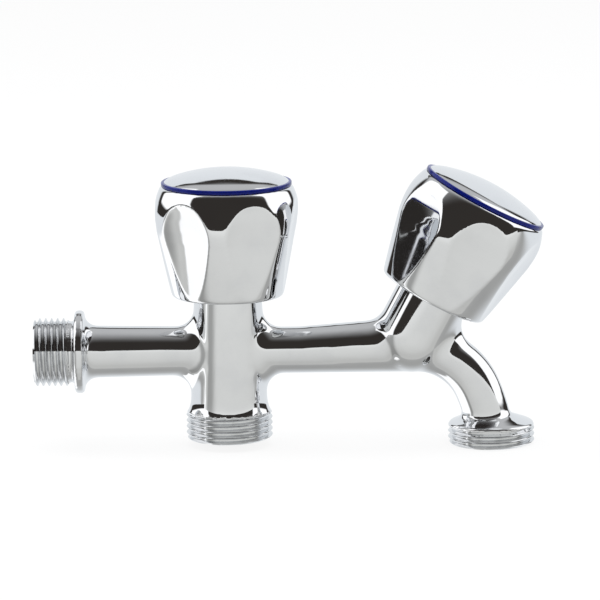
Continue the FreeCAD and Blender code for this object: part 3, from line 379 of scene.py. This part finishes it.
def build_handling_marks():
    """Smudges (large, soft) and hairlines (fine, drawn out) on Object coordinates."""
    tree = bpy.data.node_groups.new("handling_marks", "ShaderNodeTree")
    socket(tree, "Smudge Size", "NodeSocketFloat", "INPUT", 90.0)
    socket(tree, "Clean Roughness", "NodeSocketFloat", "INPUT", 0.04)
    socket(tree, "Marked Roughness", "NodeSocketFloat", "INPUT", 0.1)
    socket(tree, "Roughness", "NodeSocketFloat", "OUTPUT")
    socket(tree, "Mask", "NodeSocketFloat", "OUTPUT")
    socket(tree, "Height", "NodeSocketFloat", "OUTPUT")
    marks = Nodes(tree)
    given = marks.add("NodeGroupInput")
    place = marks.add("ShaderNodeTexCoord").outputs["Object"]
    smudges = marks.add("ShaderNodeTexNoise")
    marks.join(place, smudges.inputs["Vector"])
    marks.join(given.outputs["Smudge Size"], smudges.inputs["Scale"])
    smudges.inputs["Detail"].default_value = SMUDGE_DETAIL
    stretch = marks.add("ShaderNodeMapping")
    stretch.inputs["Scale"].default_value = (1.0, 1.0, HAIRLINE_STRETCH)
    marks.join(place, stretch.inputs["Vector"])
    hairlines = marks.add("ShaderNodeTexNoise")
    marks.join(stretch.outputs[0], hairlines.inputs["Vector"])
    hairlines.inputs["Scale"].default_value = HAIRLINE_SCALE
    hairlines.inputs["Detail"].default_value = HAIRLINE_DETAIL
    mask = marks.ramp(smudges.outputs["Fac"], SMUDGE_FROM, SMUDGE_TO)
    rough = marks.add("ShaderNodeMix", data_type="FLOAT")
    marks.join(mask, rough.inputs["Factor"])
    marks.join(given.outputs["Clean Roughness"], rough.inputs["A"])
    marks.join(given.outputs["Marked Roughness"], rough.inputs["B"])
    result = marks.add("NodeGroupOutput")
    marks.join(rough.outputs["Result"], result.inputs["Roughness"])
    marks.join(mask, result.inputs["Mask"])
    marks.join(hairlines.outputs["Fac"], result.inputs["Height"])
    return tree


HANDLING_MARKS = build_handling_marks()
print("handling marks:", len(HANDLING_MARKS.nodes), "nodes")

# %% [markdown]
# A finish joins the shared marks to one Principled shader. It could be built by hand for each
# material, but a function keeps all of them alike and leaves only a few numbers to choose: two
# colours, how metallic it is, a roughness where it is clean and one where it is marked.

# %% Helper: a material on the shared effect
RELIEF_DEPTH = 0.02 * MM


def finish(name, color, marked_color, metallic, clean, marked, smudge_size=90.0, bump=0.02, specular=0.5):
    """A material on the shared effect: two colours, a roughness range and a fine relief."""
    material = bpy.data.materials.new(name)
    nodes = fresh_tree(material)
    shader = nodes.add("ShaderNodeBsdfPrincipled")
    shader.inputs["Metallic"].default_value = metallic
    shader.inputs["Specular IOR Level"].default_value = specular
    marks = nodes.add("ShaderNodeGroup", node_tree=HANDLING_MARKS)
    marks.inputs["Smudge Size"].default_value = smudge_size
    marks.inputs["Clean Roughness"].default_value = clean
    marks.inputs["Marked Roughness"].default_value = marked
    tint = nodes.blend(marks.outputs["Mask"], color, marked_color)
    relief = nodes.add("ShaderNodeBump")
    relief.inputs["Strength"].default_value = bump
    relief.inputs["Distance"].default_value = RELIEF_DEPTH
    nodes.join(marks.outputs["Height"], relief.inputs["Height"])
    nodes.join(tint, shader.inputs["Base Color"])
    nodes.join(marks.outputs["Roughness"], shader.inputs["Roughness"])
    nodes.join(relief.outputs["Normal"], shader.inputs["Normal"])
    nodes.end("ShaderNodeOutputMaterial", shader.outputs[0])
    return material


# %% [markdown]
# The finishes of the real tap: bright chrome plate over brass outside, a softer chrome on the cut
# threads, bare machined brass, steel, red fibre, black rubber inside, and the blue of the rings.
# Pictures of the surfaces could be laid over them, but plate and machined metal need only a colour,
# a roughness and the marks. The chrome is nearly a mirror, so its look is that of the room. The
# ring's plastic is a deep blue with a weak shine, or the white room would turn it grey.

# %% Materials
chrome = finish("chrome_plate", (0.80, 0.81, 0.825), (0.76, 0.77, 0.79),
                metallic=1.0, clean=0.03, marked=0.07)
thread_chrome = finish("thread_chrome", (0.76, 0.77, 0.785), (0.66, 0.67, 0.68),
                       metallic=1.0, clean=0.07, marked=0.16, smudge_size=300.0, bump=0.08)
cap_chrome = finish("cap_chrome", (0.80, 0.81, 0.83), (0.76, 0.77, 0.79),
                    metallic=1.0, clean=0.05, marked=0.1)
blue_ring = finish("blue_ring", (0.003, 0.008, 0.13), (0.005, 0.012, 0.17),
                   metallic=0.0, clean=0.18, marked=0.3, smudge_size=160.0, bump=0.05, specular=0.2)
brass = finish("machined_brass", (0.72, 0.52, 0.22), (0.55, 0.38, 0.16),
               metallic=1.0, clean=0.22, marked=0.42, smudge_size=140.0, bump=0.2)
steel = finish("spring_steel", (0.52, 0.53, 0.55), (0.4, 0.41, 0.43),
               metallic=1.0, clean=0.25, marked=0.4, smudge_size=200.0, bump=0.1)
fibre = finish("red_fibre", (0.42, 0.09, 0.05), (0.3, 0.06, 0.035),
               metallic=0.0, clean=0.8, marked=0.95, smudge_size=600.0, bump=0.5)
rubber = finish("black_rubber", (0.02, 0.02, 0.022), (0.045, 0.045, 0.045),
                metallic=0.0, clean=0.55, marked=0.8, smudge_size=300.0, bump=0.3)
print("finishes on the shared effect:", HANDLING_MARKS.users)

# %% [markdown]
# The frame's pieces that stay in use are the bonnets, spindles, plungers, washers and screws inside
# the valves. They could be modelled anew, but they are hidden, and their solids are already round
# and hexagonal. Both valves have the same ones, so each piece gets its finish by the part of its
# name that comes after the valve's.

# %% Finishes on the frame's pieces
NODE_FINISHES = {
    "bonnet_gasket": fibre,
    "bonnet": brass,
    "spindle_seals": rubber,
    "spindle_circlip": steel,
    "spindle": brass,
    "plunger": brass,
    "seat_washer": rubber,
    "washer_screw": brass,
    "knob_screw": steel,
    "index_ring": blue_ring,
    "index_cap": cap_chrome,
    "knob": chrome,
    "tap_casting": chrome,
}
for name, node in frame["nodes"].items():
    kind = name.removeprefix("upright_").removeprefix("angled_")
    node.data.materials.clear()
    node.data.materials.append(NODE_FINISHES[kind])
print("finishes on", len(frame["nodes"]), "frame pieces")

# %% [markdown]
# Modelling goes on in edit mode, where points are picked and moved, and with modifiers, which are
# set up and applied in object mode. Both work on what is selected or active, so each helper first
# takes its own piece alone. The points could be picked by number, but a test of their place still
# holds when the mesh changes. A copy could share its mesh with the first piece, but here each gets
# its own, because its place on the tap is kept in it.

# %% Helpers: edit mode, modifiers and copies
def take(piece):
    """Only this piece selected and active, in object mode."""
    bpy.ops.object.select_all(action="DESELECT")
    piece.select_set(True)
    bpy.context.view_layer.objects.active = piece


def start_edit(piece):
    """Only this piece selected, in edit mode, with nothing in it selected."""
    take(piece)
    bpy.ops.object.mode_set(mode="EDIT")
    bpy.ops.mesh.select_all(action="DESELECT")


def end_edit():
    bpy.ops.object.mode_set(mode="OBJECT")


def pick(piece, test):
    """In edit mode, select the vertices whose place passes a test."""
    mesh = bmesh.from_edit_mesh(piece.data)
    for vertex in mesh.verts:
        vertex.select = test(vertex.co)
    mesh.select_flush_mode()
    bmesh.update_edit_mesh(piece.data)


def apply_modifier(piece, kind, **settings):
    """Add a modifier to a piece, set it up and apply it."""
    modifier = piece.modifiers.new(kind.lower(), kind)
    for name, value in settings.items():
        setattr(modifier, name, value)
    take(piece)
    bpy.ops.object.modifier_apply(modifier=modifier.name)


def copy_of(piece, name):
    """A new piece with its own copy of another one's mesh."""
    double = bpy.data.objects.new(name, piece.data.copy())
    double.data.name = name
    bpy.context.scene.collection.objects.link(double)
    return double


# %% [markdown]
# Chrome betrays the slightest facet, and the frame's own mesh is made of long thin triangles. It
# could be subdivided, but that keeps the thin triangles. A skin is a copy of such a mesh, merged,
# wrapped again in a fine even net and relaxed a little. The relaxing also rounds the sharp edges, as
# polishing and plating do on a real casting. The knobs get the same treatment.

# %% Helpers: an even, relaxed skin
MERGE = 0.002 * MM
RELAX_STRENGTH = 0.5


def wrap_and_relax(piece, net, relaxing):
    """A net of even faces in place of the piece's own, then smoothed a number of times."""
    apply_modifier(piece, "REMESH", mode="VOXEL", voxel_size=net, use_smooth_shade=True)
    apply_modifier(piece, "SMOOTH", factor=RELAX_STRENGTH, iterations=relaxing)


def merged_copy(node_name, name):
    """A copy of a frame piece with its loose triangles joined."""
    piece = copy_of(frame["nodes"][node_name], name)
    start_edit(piece)
    bpy.ops.mesh.select_all(action="SELECT")
    bpy.ops.mesh.remove_doubles(threshold=MERGE)
    end_edit()
    return piece


# %% [markdown]
# The tap's body is one casting: the wall pipe with its flange, the upright barrel, the cross pipe,
# the leaning neck and the spout. It could be joined again from tubes, but its blended junctions are
# already right in the frame, so its skin follows the frame. Where a thread is cut, the skin is
# drawn in to the thread's core, and the thread is added as its own sleeve further on.

# %% Body of the tap
BODY_NET, BODY_RELAXING = 0.56 * MM, 7
OUTLET_CREST, OUTLET_CORE = 13.22 * MM, 12.0 * MM
INLET_CREST, INLET_CORE = 10.48 * MM, 9.3 * MM
CORE_DEPTH = 0.35 * MM
CENTRE_OUTLET = Vector((47.0 * MM, 0, -27.1 * MM))
ANGLED_OUTLET = Vector((127.3 * MM, 0, -29.4 * MM))
INLET_END = Vector((-12.5 * MM, 0, 0))
CENTRE_THREAD, ANGLED_THREAD, INLET_THREAD = 8.1 * MM, 5.5 * MM, 10.3 * MM
THREAD_INSIDE, THREAD_OUTSIDE = 0.85, 1.03
UP, AWAY = Vector((0, 0, 1)), Vector((1, 0, 0))


def draw_in(piece, end, way, length, crest, core):
    """Shrink the round stretch of a thread to just inside its core."""

    def on_thread(place):
        along = (place - end).dot(way)
        across = (place - end - way * along).length
        return along < length and crest * THREAD_INSIDE < across < crest * THREAD_OUTSIDE

    start_edit(piece)
    pick(piece, on_thread)
    shrunk = (core - CORE_DEPTH) / crest
    bpy.ops.transform.resize(value=[1.0 if share > 0.5 else shrunk for share in way], center_override=end)
    end_edit()


tap_body = merged_copy("tap_casting", "tap_body")
wrap_and_relax(tap_body, BODY_NET, BODY_RELAXING)
draw_in(tap_body, CENTRE_OUTLET, UP, CENTRE_THREAD, OUTLET_CREST, OUTLET_CORE)
draw_in(tap_body, ANGLED_OUTLET, UP, ANGLED_THREAD, OUTLET_CREST, OUTLET_CORE)
draw_in(tap_body, INLET_END, AWAY, INLET_THREAD, INLET_CREST, INLET_CORE)
tap_body.data.materials.clear()
tap_body.data.materials.append(chrome)
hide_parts("tap_casting")
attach(tap_body, "tap")
print("tap body:", len(tap_body.data.polygons), "faces")

# %% [markdown]
# Most round pieces start as a thin line drawn in the plane of their axis, point by point, and spun
# once round it. A cylinder could be cut and scaled ring by ring instead, but a spun line has the
# whole outline in one list, as a lathe follows it, and leaves rows of even faces. Double points on
# the axis and at the seam are merged, and the normals are turned outwards.

# %% Helpers: draw a line and spin it
LATHE_STEPS = 144
SPUN_MERGE = 0.004 * MM


def draw_line(name, points):
    """A wire through (radius, height) points, started from one vertex and extruded on."""
    bpy.ops.object.select_all(action="DESELECT")
    bpy.ops.mesh.primitive_plane_add(size=MM, location=(0, 0, 0))
    piece = bpy.context.object
    piece.name = piece.data.name = name
    bpy.ops.object.mode_set(mode="EDIT")
    bpy.ops.mesh.merge(type="CENTER")
    bpy.ops.transform.translate(value=(points[0][0], 0, points[0][1]))
    for before, after in zip(points, points[1:]):
        step = (after[0] - before[0], 0, after[1] - before[1])
        bpy.ops.mesh.extrude_region_move(TRANSFORM_OT_translate={"value": step})
    end_edit()
    return piece


def lathe(name, points, steps=LATHE_STEPS):
    """Spin a line of (radius, height) points, in millimetres, round the Z axis."""
    piece = draw_line(name, [(radius * MM, height * MM) for radius, height in points])
    start_edit(piece)
    bpy.ops.mesh.select_all(action="SELECT")
    bpy.ops.mesh.spin(steps=steps, angle=math.tau, center=(0, 0, 0), axis=(0, 0, 1))
    bpy.ops.mesh.select_all(action="SELECT")
    bpy.ops.mesh.remove_doubles(threshold=SPUN_MERGE)
    bpy.ops.mesh.normals_make_consistent(inside=False)
    end_edit()
    return piece


# %% [markdown]
# A piece is spun on the axis of the scene and then moved to its place on the tap. The move is kept in
# the mesh, as in the frame's own pieces, so the marks are measured from the same origin on all of
# them. Last the piece gets its material and is given to the body that carries it. A parent object
# could carry it too, but the frame already knows how its bodies move.

# %% Helpers: place and dress a piece
def settle(piece, place):
    """Move a piece from the lathe to its place, and keep the place in its mesh."""
    take(piece)
    piece.matrix_world = place
    bpy.ops.object.transform_apply(location=True, rotation=True, scale=True)


def dress(piece, material, slot_name, body, *nodes, angle=35):
    """Smooth shading, a material and the body that carries the piece. The slot name is not used."""
    take(piece)
    bpy.ops.object.shade_smooth_by_angle(angle=math.radians(angle))
    piece.data.materials.clear()
    piece.data.materials.append(material)
    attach(piece, body)
    if nodes:
        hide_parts(*nodes)


# %% [markdown]
# The pipe threads are real screws, 14 turns to the inch, with rounded crests and roots. Plain rings
# would look alike from afar, but close up a screw shows its slope. One tooth of the thread is drawn,
# and the Screw modifier winds it up. The wound rod is longer than needed, so it is cut to length and
# then turned down against a blank that has the chamfers and the bore.

# %% Helpers: wind and turn a thread
PITCH = 25.4 / 14 * MM
WINDING_STEPS = 96
END_SPARE, END_BEVEL_HEIGHT, END_BEVEL_WIDTH = 0.02, 0.3, 0.5
TOOTH = [(0.0, 0.0), (0.12, 0.03), (0.27, 0.42), (0.4, 0.86), (0.5, 1.0), (0.6, 0.86), (0.73, 0.42),
         (0.88, 0.03), (1.0, 0.0)]


def wind_rod(name, crest, core, length):
    """A threaded rod round the Z axis, flat at both ends, from 0 to its length."""
    spare = 2 * PITCH
    tooth = [(core + (crest - core) * depth, PITCH * share - spare) for share, depth in TOOTH]
    rod = draw_line(name, tooth)
    turns = math.ceil((length + 2 * spare) / PITCH)
    apply_modifier(rod, "SCREW", axis="Z", angle=math.tau, screw_offset=PITCH, iterations=turns,
                   steps=WINDING_STEPS, render_steps=WINDING_STEPS,
                   use_merge_vertices=True, merge_threshold=SPUN_MERGE)
    start_edit(rod)
    bpy.ops.mesh.select_all(action="SELECT")
    bpy.ops.mesh.remove_doubles(threshold=SPUN_MERGE)
    past = END_SPARE * MM
    bpy.ops.mesh.bisect(plane_co=(0, 0, -past), plane_no=(0, 0, 1), use_fill=True, clear_inner=True)
    bpy.ops.mesh.select_all(action="SELECT")
    bpy.ops.mesh.bisect(plane_co=(0, 0, length + past), plane_no=(0, 0, 1), use_fill=True, clear_outer=True)
    bpy.ops.mesh.select_all(action="SELECT")
    bpy.ops.mesh.normals_make_consistent(inside=False)
    end_edit()
    return rod


def thread_sleeve(name, crest, core, length, chamfer, place):
    """A threaded sleeve that stands on its open end, wound and then turned down."""
    rod = wind_rod(name, crest, core, length)
    inner, outer = (core - 2 * CORE_DEPTH) / MM, crest / MM + END_SPARE
    top, bevel = length / MM, chamfer / MM
    blank = lathe("blank", [(inner, 0), (outer - bevel, 0), (outer, bevel),
                            (outer, top - END_BEVEL_HEIGHT), (outer - END_BEVEL_WIDTH, top),
                            (inner, top), (inner, 0)])
    apply_modifier(rod, "BOOLEAN", object=blank, operation="INTERSECT", solver="EXACT")
    bpy.data.objects.remove(blank)
    settle(rod, place)
    dress(rod, thread_chrome, "chrome_plate", "tap")
    print(name, len(rod.data.polygons), "faces,", round(length / PITCH, 1), "turns")


# %% [markdown]
# The tap has three threads: a thinner one that screws into the wall, and two equally thick ones for
# hoses, under the barrel and on the spout. Copies of one thread could be scaled, but that would
# change the pitch, so each is wound anew at its own length. Each is set a hair back from the end of
# its pipe, so that two faces never lie in the same plane.

# %% Threads on the tap
LIFT = 0.04 * MM
INLET_CHAMFER, OUTLET_CHAMFER = 0.9 * MM, 0.7 * MM
inlet_place = Matrix.Translation(INLET_END + AWAY * LIFT) @ Matrix.Rotation(math.radians(90), 4, "Y")
centre_place = Matrix.Translation(CENTRE_OUTLET + UP * LIFT)
angled_place = Matrix.Translation(ANGLED_OUTLET + UP * LIFT)
thread_sleeve("inlet_thread", INLET_CREST, INLET_CORE, INLET_THREAD, INLET_CHAMFER, inlet_place)
for name, length, place in (("centre_outlet_thread", CENTRE_THREAD, centre_place),
                            ("angled_outlet_thread", ANGLED_THREAD, angled_place)):
    thread_sleeve(name, OUTLET_CREST, OUTLET_CORE, length, OUTLET_CHAMFER, place)

# %% [markdown]
# Each knob is a plated shell. Before it gets its flats it is a turned piece: outside a cone with a
# round shoulder, inside a boss with a hole for the spindle, and on top a well for the cap. It could
# be a solid block, but a view from below looks into it. Its outline is put together here from four
# stretches, as (radius, height) in millimetres, with height 0 at the rim of the valve's neck.

# %% Outline of a knob
KNOB_FOOT, KNOB_HIP, SHOULDER_TOP, KNOB_TOP = -6.9, 11.4, 26.7, 27.2
SHOULDER_RADIUS, SHOULDER_HEIGHT, SHOULDER_BEND, SHOULDER_STEPS = 0.404, 17.30, 22.0, 24
BOSS_RADIUS, BOSS_FOOT, ROOF = 7.0, 13.9, 21.5
HOLE_RADIUS, HOLE_TOP = 4.05, 20.7
SCREW_HOLE_RADIUS, SCREW_SEAT_RADIUS, SCREW_SEAT = 2.2, 4.6, 22.7
WELL_RADIUS, WELL_FLOOR = 16.9, 25.0


def shoulder_points(low, high, count):
    """The round shoulder between two heights."""
    heights = [low + (high - low) * index / count for index in range(count + 1)]
    return [(SHOULDER_RADIUS + math.sqrt(SHOULDER_BEND ** 2 - (height - SHOULDER_HEIGHT) ** 2), height)
            for height in heights]


BOSS_LINE = [(SCREW_HOLE_RADIUS, SCREW_SEAT), (SCREW_HOLE_RADIUS, HOLE_TOP), (HOLE_RADIUS, HOLE_TOP),
             (HOLE_RADIUS, BOSS_FOOT), (BOSS_RADIUS, BOSS_FOOT), (BOSS_RADIUS, ROOF)]
SKIRT_LINE = [(18.4, ROOF), (18.4, KNOB_HIP), (14.6, KNOB_FOOT), (16.2, KNOB_FOOT), (16.9, -6.6),
              (17.2, -5.9)]
SHOULDER_LINE = shoulder_points(KNOB_HIP, SHOULDER_TOP, SHOULDER_STEPS)
WELL_LINE = [(19.8, KNOB_TOP), (WELL_RADIUS, KNOB_TOP), (WELL_RADIUS, WELL_FLOOR),
             (SCREW_SEAT_RADIUS, WELL_FLOOR), (SCREW_SEAT_RADIUS, SCREW_SEAT),
             (SCREW_HOLE_RADIUS, SCREW_SEAT)]
KNOB_LINE = BOSS_LINE + SKIRT_LINE + SHOULDER_LINE + WELL_LINE
print("knob's outline:", len(KNOB_LINE), "points")

# %% [markdown]
# The flats of the real knob are slightly hollow and narrow towards the foot, as a large wheel would
# grind them. Six flat cuts would be quicker, but each would mirror the room like a pane of glass. So
# the wheel is drawn as a line and spun too, and its rim has the flat's shape. It is made once, and a
# copy of it is cut away at each of the six places.

# %% Grinding wheel
FLATS = 6
WHEEL_REACH, WHEEL_HUB, WHEEL_STEPS = 80.0, 40.0, 720
FLAT_LINE = [(16.9, -8.0), (17.0, -6.9), (18.05, 2.0), (18.8, 8.0), (19.25, 11.4), (19.85, 15.0),
             (20.6, 19.0), (21.04, 22.1), (21.42, 24.0), (22.0, 26.5), (22.8, 30.0)]
WHEEL_RIM = [(WHEEL_REACH - radius, height) for radius, height in FLAT_LINE]
WHEEL_LOW, WHEEL_HIGH = (WHEEL_HUB, FLAT_LINE[0][1]), (WHEEL_HUB, FLAT_LINE[-1][1])
WHEEL_LINE = [WHEEL_LOW] + WHEEL_RIM + [WHEEL_HIGH, WHEEL_LOW]


def grind_flats(knob, wheel, start):
    """Cut the hollow flats all round, from a start angle in degrees."""
    for index in range(FLATS):
        cutter = copy_of(wheel, "cutter")
        turn = Matrix.Rotation(math.tau * index / FLATS + math.radians(start), 4, "Z")
        settle(cutter, turn @ Matrix.Translation((WHEEL_REACH * MM, 0, 0)))
        apply_modifier(knob, "BOOLEAN", object=cutter, operation="DIFFERENCE", solver="EXACT")
        bpy.data.objects.remove(cutter)


print("wheel:", WHEEL_REACH, "mm from the axis,", len(WHEEL_RIM), "points on its rim")

# %% [markdown]
# Both knobs are turned and ground alike, but in the photograph they stand at different turns. One
# could be a turned copy of the other, but a fresh net on each is as short to write. Each is made
# upright at its own turn and then set on its valve. The net is relaxed, so that the arches meet the
# shoulder in a soft edge.

# %% Knobs
UPRIGHT_RIM = Vector((47.0 * MM, 0, 24.0 * MM))
ANGLED_RIM = Vector((112.637 * MM, 0, 22.074 * MM))
LEAN = math.radians(28)
VALVES = {
    "upright": Matrix.Translation(UPRIGHT_RIM),
    "angled": Matrix.Translation(ANGLED_RIM) @ Matrix.Rotation(LEAN, 4, "Y"),
}
KNOB_TURNS = {"upright": -6.8, "angled": -19.9}
KNOB_NET, KNOB_RELAXING = 0.4 * MM, 10

wheel = lathe("wheel", WHEEL_LINE, WHEEL_STEPS)
for valve, place in VALVES.items():
    knob = lathe(valve + "_knob_shell", KNOB_LINE)
    grind_flats(knob, wheel, KNOB_TURNS[valve])
    wrap_and_relax(knob, KNOB_NET, KNOB_RELAXING)
    settle(knob, place)
    dress(knob, chrome, "chrome_plate", valve + "_turning_set", valve + "_knob", angle=180)
    print(knob.name, len(knob.data.polygons), "faces")
bpy.data.objects.remove(wheel)

# %% [markdown]
# On top sit the blue index ring and the domed cap. Both are turned. The cap could be a slice of a
# ball, but the real one is nearly flat in the middle and curves down ever faster to a thin edge on
# the ring, and chrome shows the difference. So its line is worked out from its slopes at a few radii.

# %% Outlines of the ring and the cap
RING_FOOT, RING_TOP, DOME_TOP = KNOB_TOP, 28.4, 32.3
RING_HOLE, RING_BEAD_RADIUS, RING_BEAD, BEAD_TURN = 17.0, 19.6, 0.3, 80
CAP_SKIRT_FOOT, CAP_SEAT = 25.4, RING_TOP - 0.04
DOME_SLOPES = [(0.0, 0.0), (16.0, 17.2), (18.6, 30.0), (19.0, 52.0)]
DOME_STEP = 0.4


def dome_points(step):
    """The dome's line from its edge to its top, by adding up its slopes."""
    radius, height, line = 0.0, DOME_TOP, [(0.0, DOME_TOP)]
    for (inner, first), (outer, last) in zip(DOME_SLOPES, DOME_SLOPES[1:]):
        count = math.ceil((outer - inner) / step)
        for index in range(count):
            width = (outer - inner) / count
            height -= width * math.tan(math.radians(first + (last - first) * (index + 0.5) / count))
            radius += width
            line.append((radius, height))
    return line[::-1]


def bead(radius, height, size, first, last, count=6):
    """Points of a rounded edge, from one angle to another in degrees."""
    turns = [math.radians(first + (last - first) * index / count) for index in range(count + 1)]
    return [(radius + size * math.cos(turn), height + size * math.sin(turn)) for turn in turns]


dome = dome_points(DOME_STEP)
print("edge of the dome:", [round(value, 2) for value in dome[0]])
CAP_LINE = [(16.0, CAP_SKIRT_FOOT), (16.7, CAP_SKIRT_FOOT), (16.8, CAP_SEAT), (18.9, CAP_SEAT)] + dome
RING_LINE = ([(RING_HOLE, RING_FOOT), (19.5, RING_FOOT)]
             + bead(RING_BEAD_RADIUS, RING_FOOT + RING_BEAD, RING_BEAD, -BEAD_TURN, 0)
             + bead(RING_BEAD_RADIUS, RING_TOP - RING_BEAD, RING_BEAD, 0, BEAD_TURN)
             + [(19.5, RING_TOP), (RING_HOLE, RING_TOP), (RING_HOLE, RING_FOOT)])

# %% [markdown]
# Both valves have the same ring and cap, which turn with the knob. Each could be spun again, but it
# is spun once and copied, as a maker turns one pattern and casts the rest from it. The patterns are
# taken away at the end.

# %% Index rings and caps
ring_pattern = lathe("ring_pattern", RING_LINE)
cap_pattern = lathe("cap_pattern", CAP_LINE)
for valve, place in VALVES.items():
    ring = copy_of(ring_pattern, valve + "_blue_ring")
    settle(ring, place)
    dress(ring, blue_ring, "blue_plastic", valve + "_turning_set", valve + "_index_ring", angle=60)
    cap = copy_of(cap_pattern, valve + "_domed_cap")
    settle(cap, place)
    dress(cap, cap_chrome, "chrome_cap", valve + "_turning_set", valve + "_index_cap", angle=60)
    print(ring.name, len(ring.data.polygons), "faces,", cap.name, len(cap.data.polygons), "faces")
for pattern in (ring_pattern, cap_pattern):
    bpy.data.objects.remove(pattern)
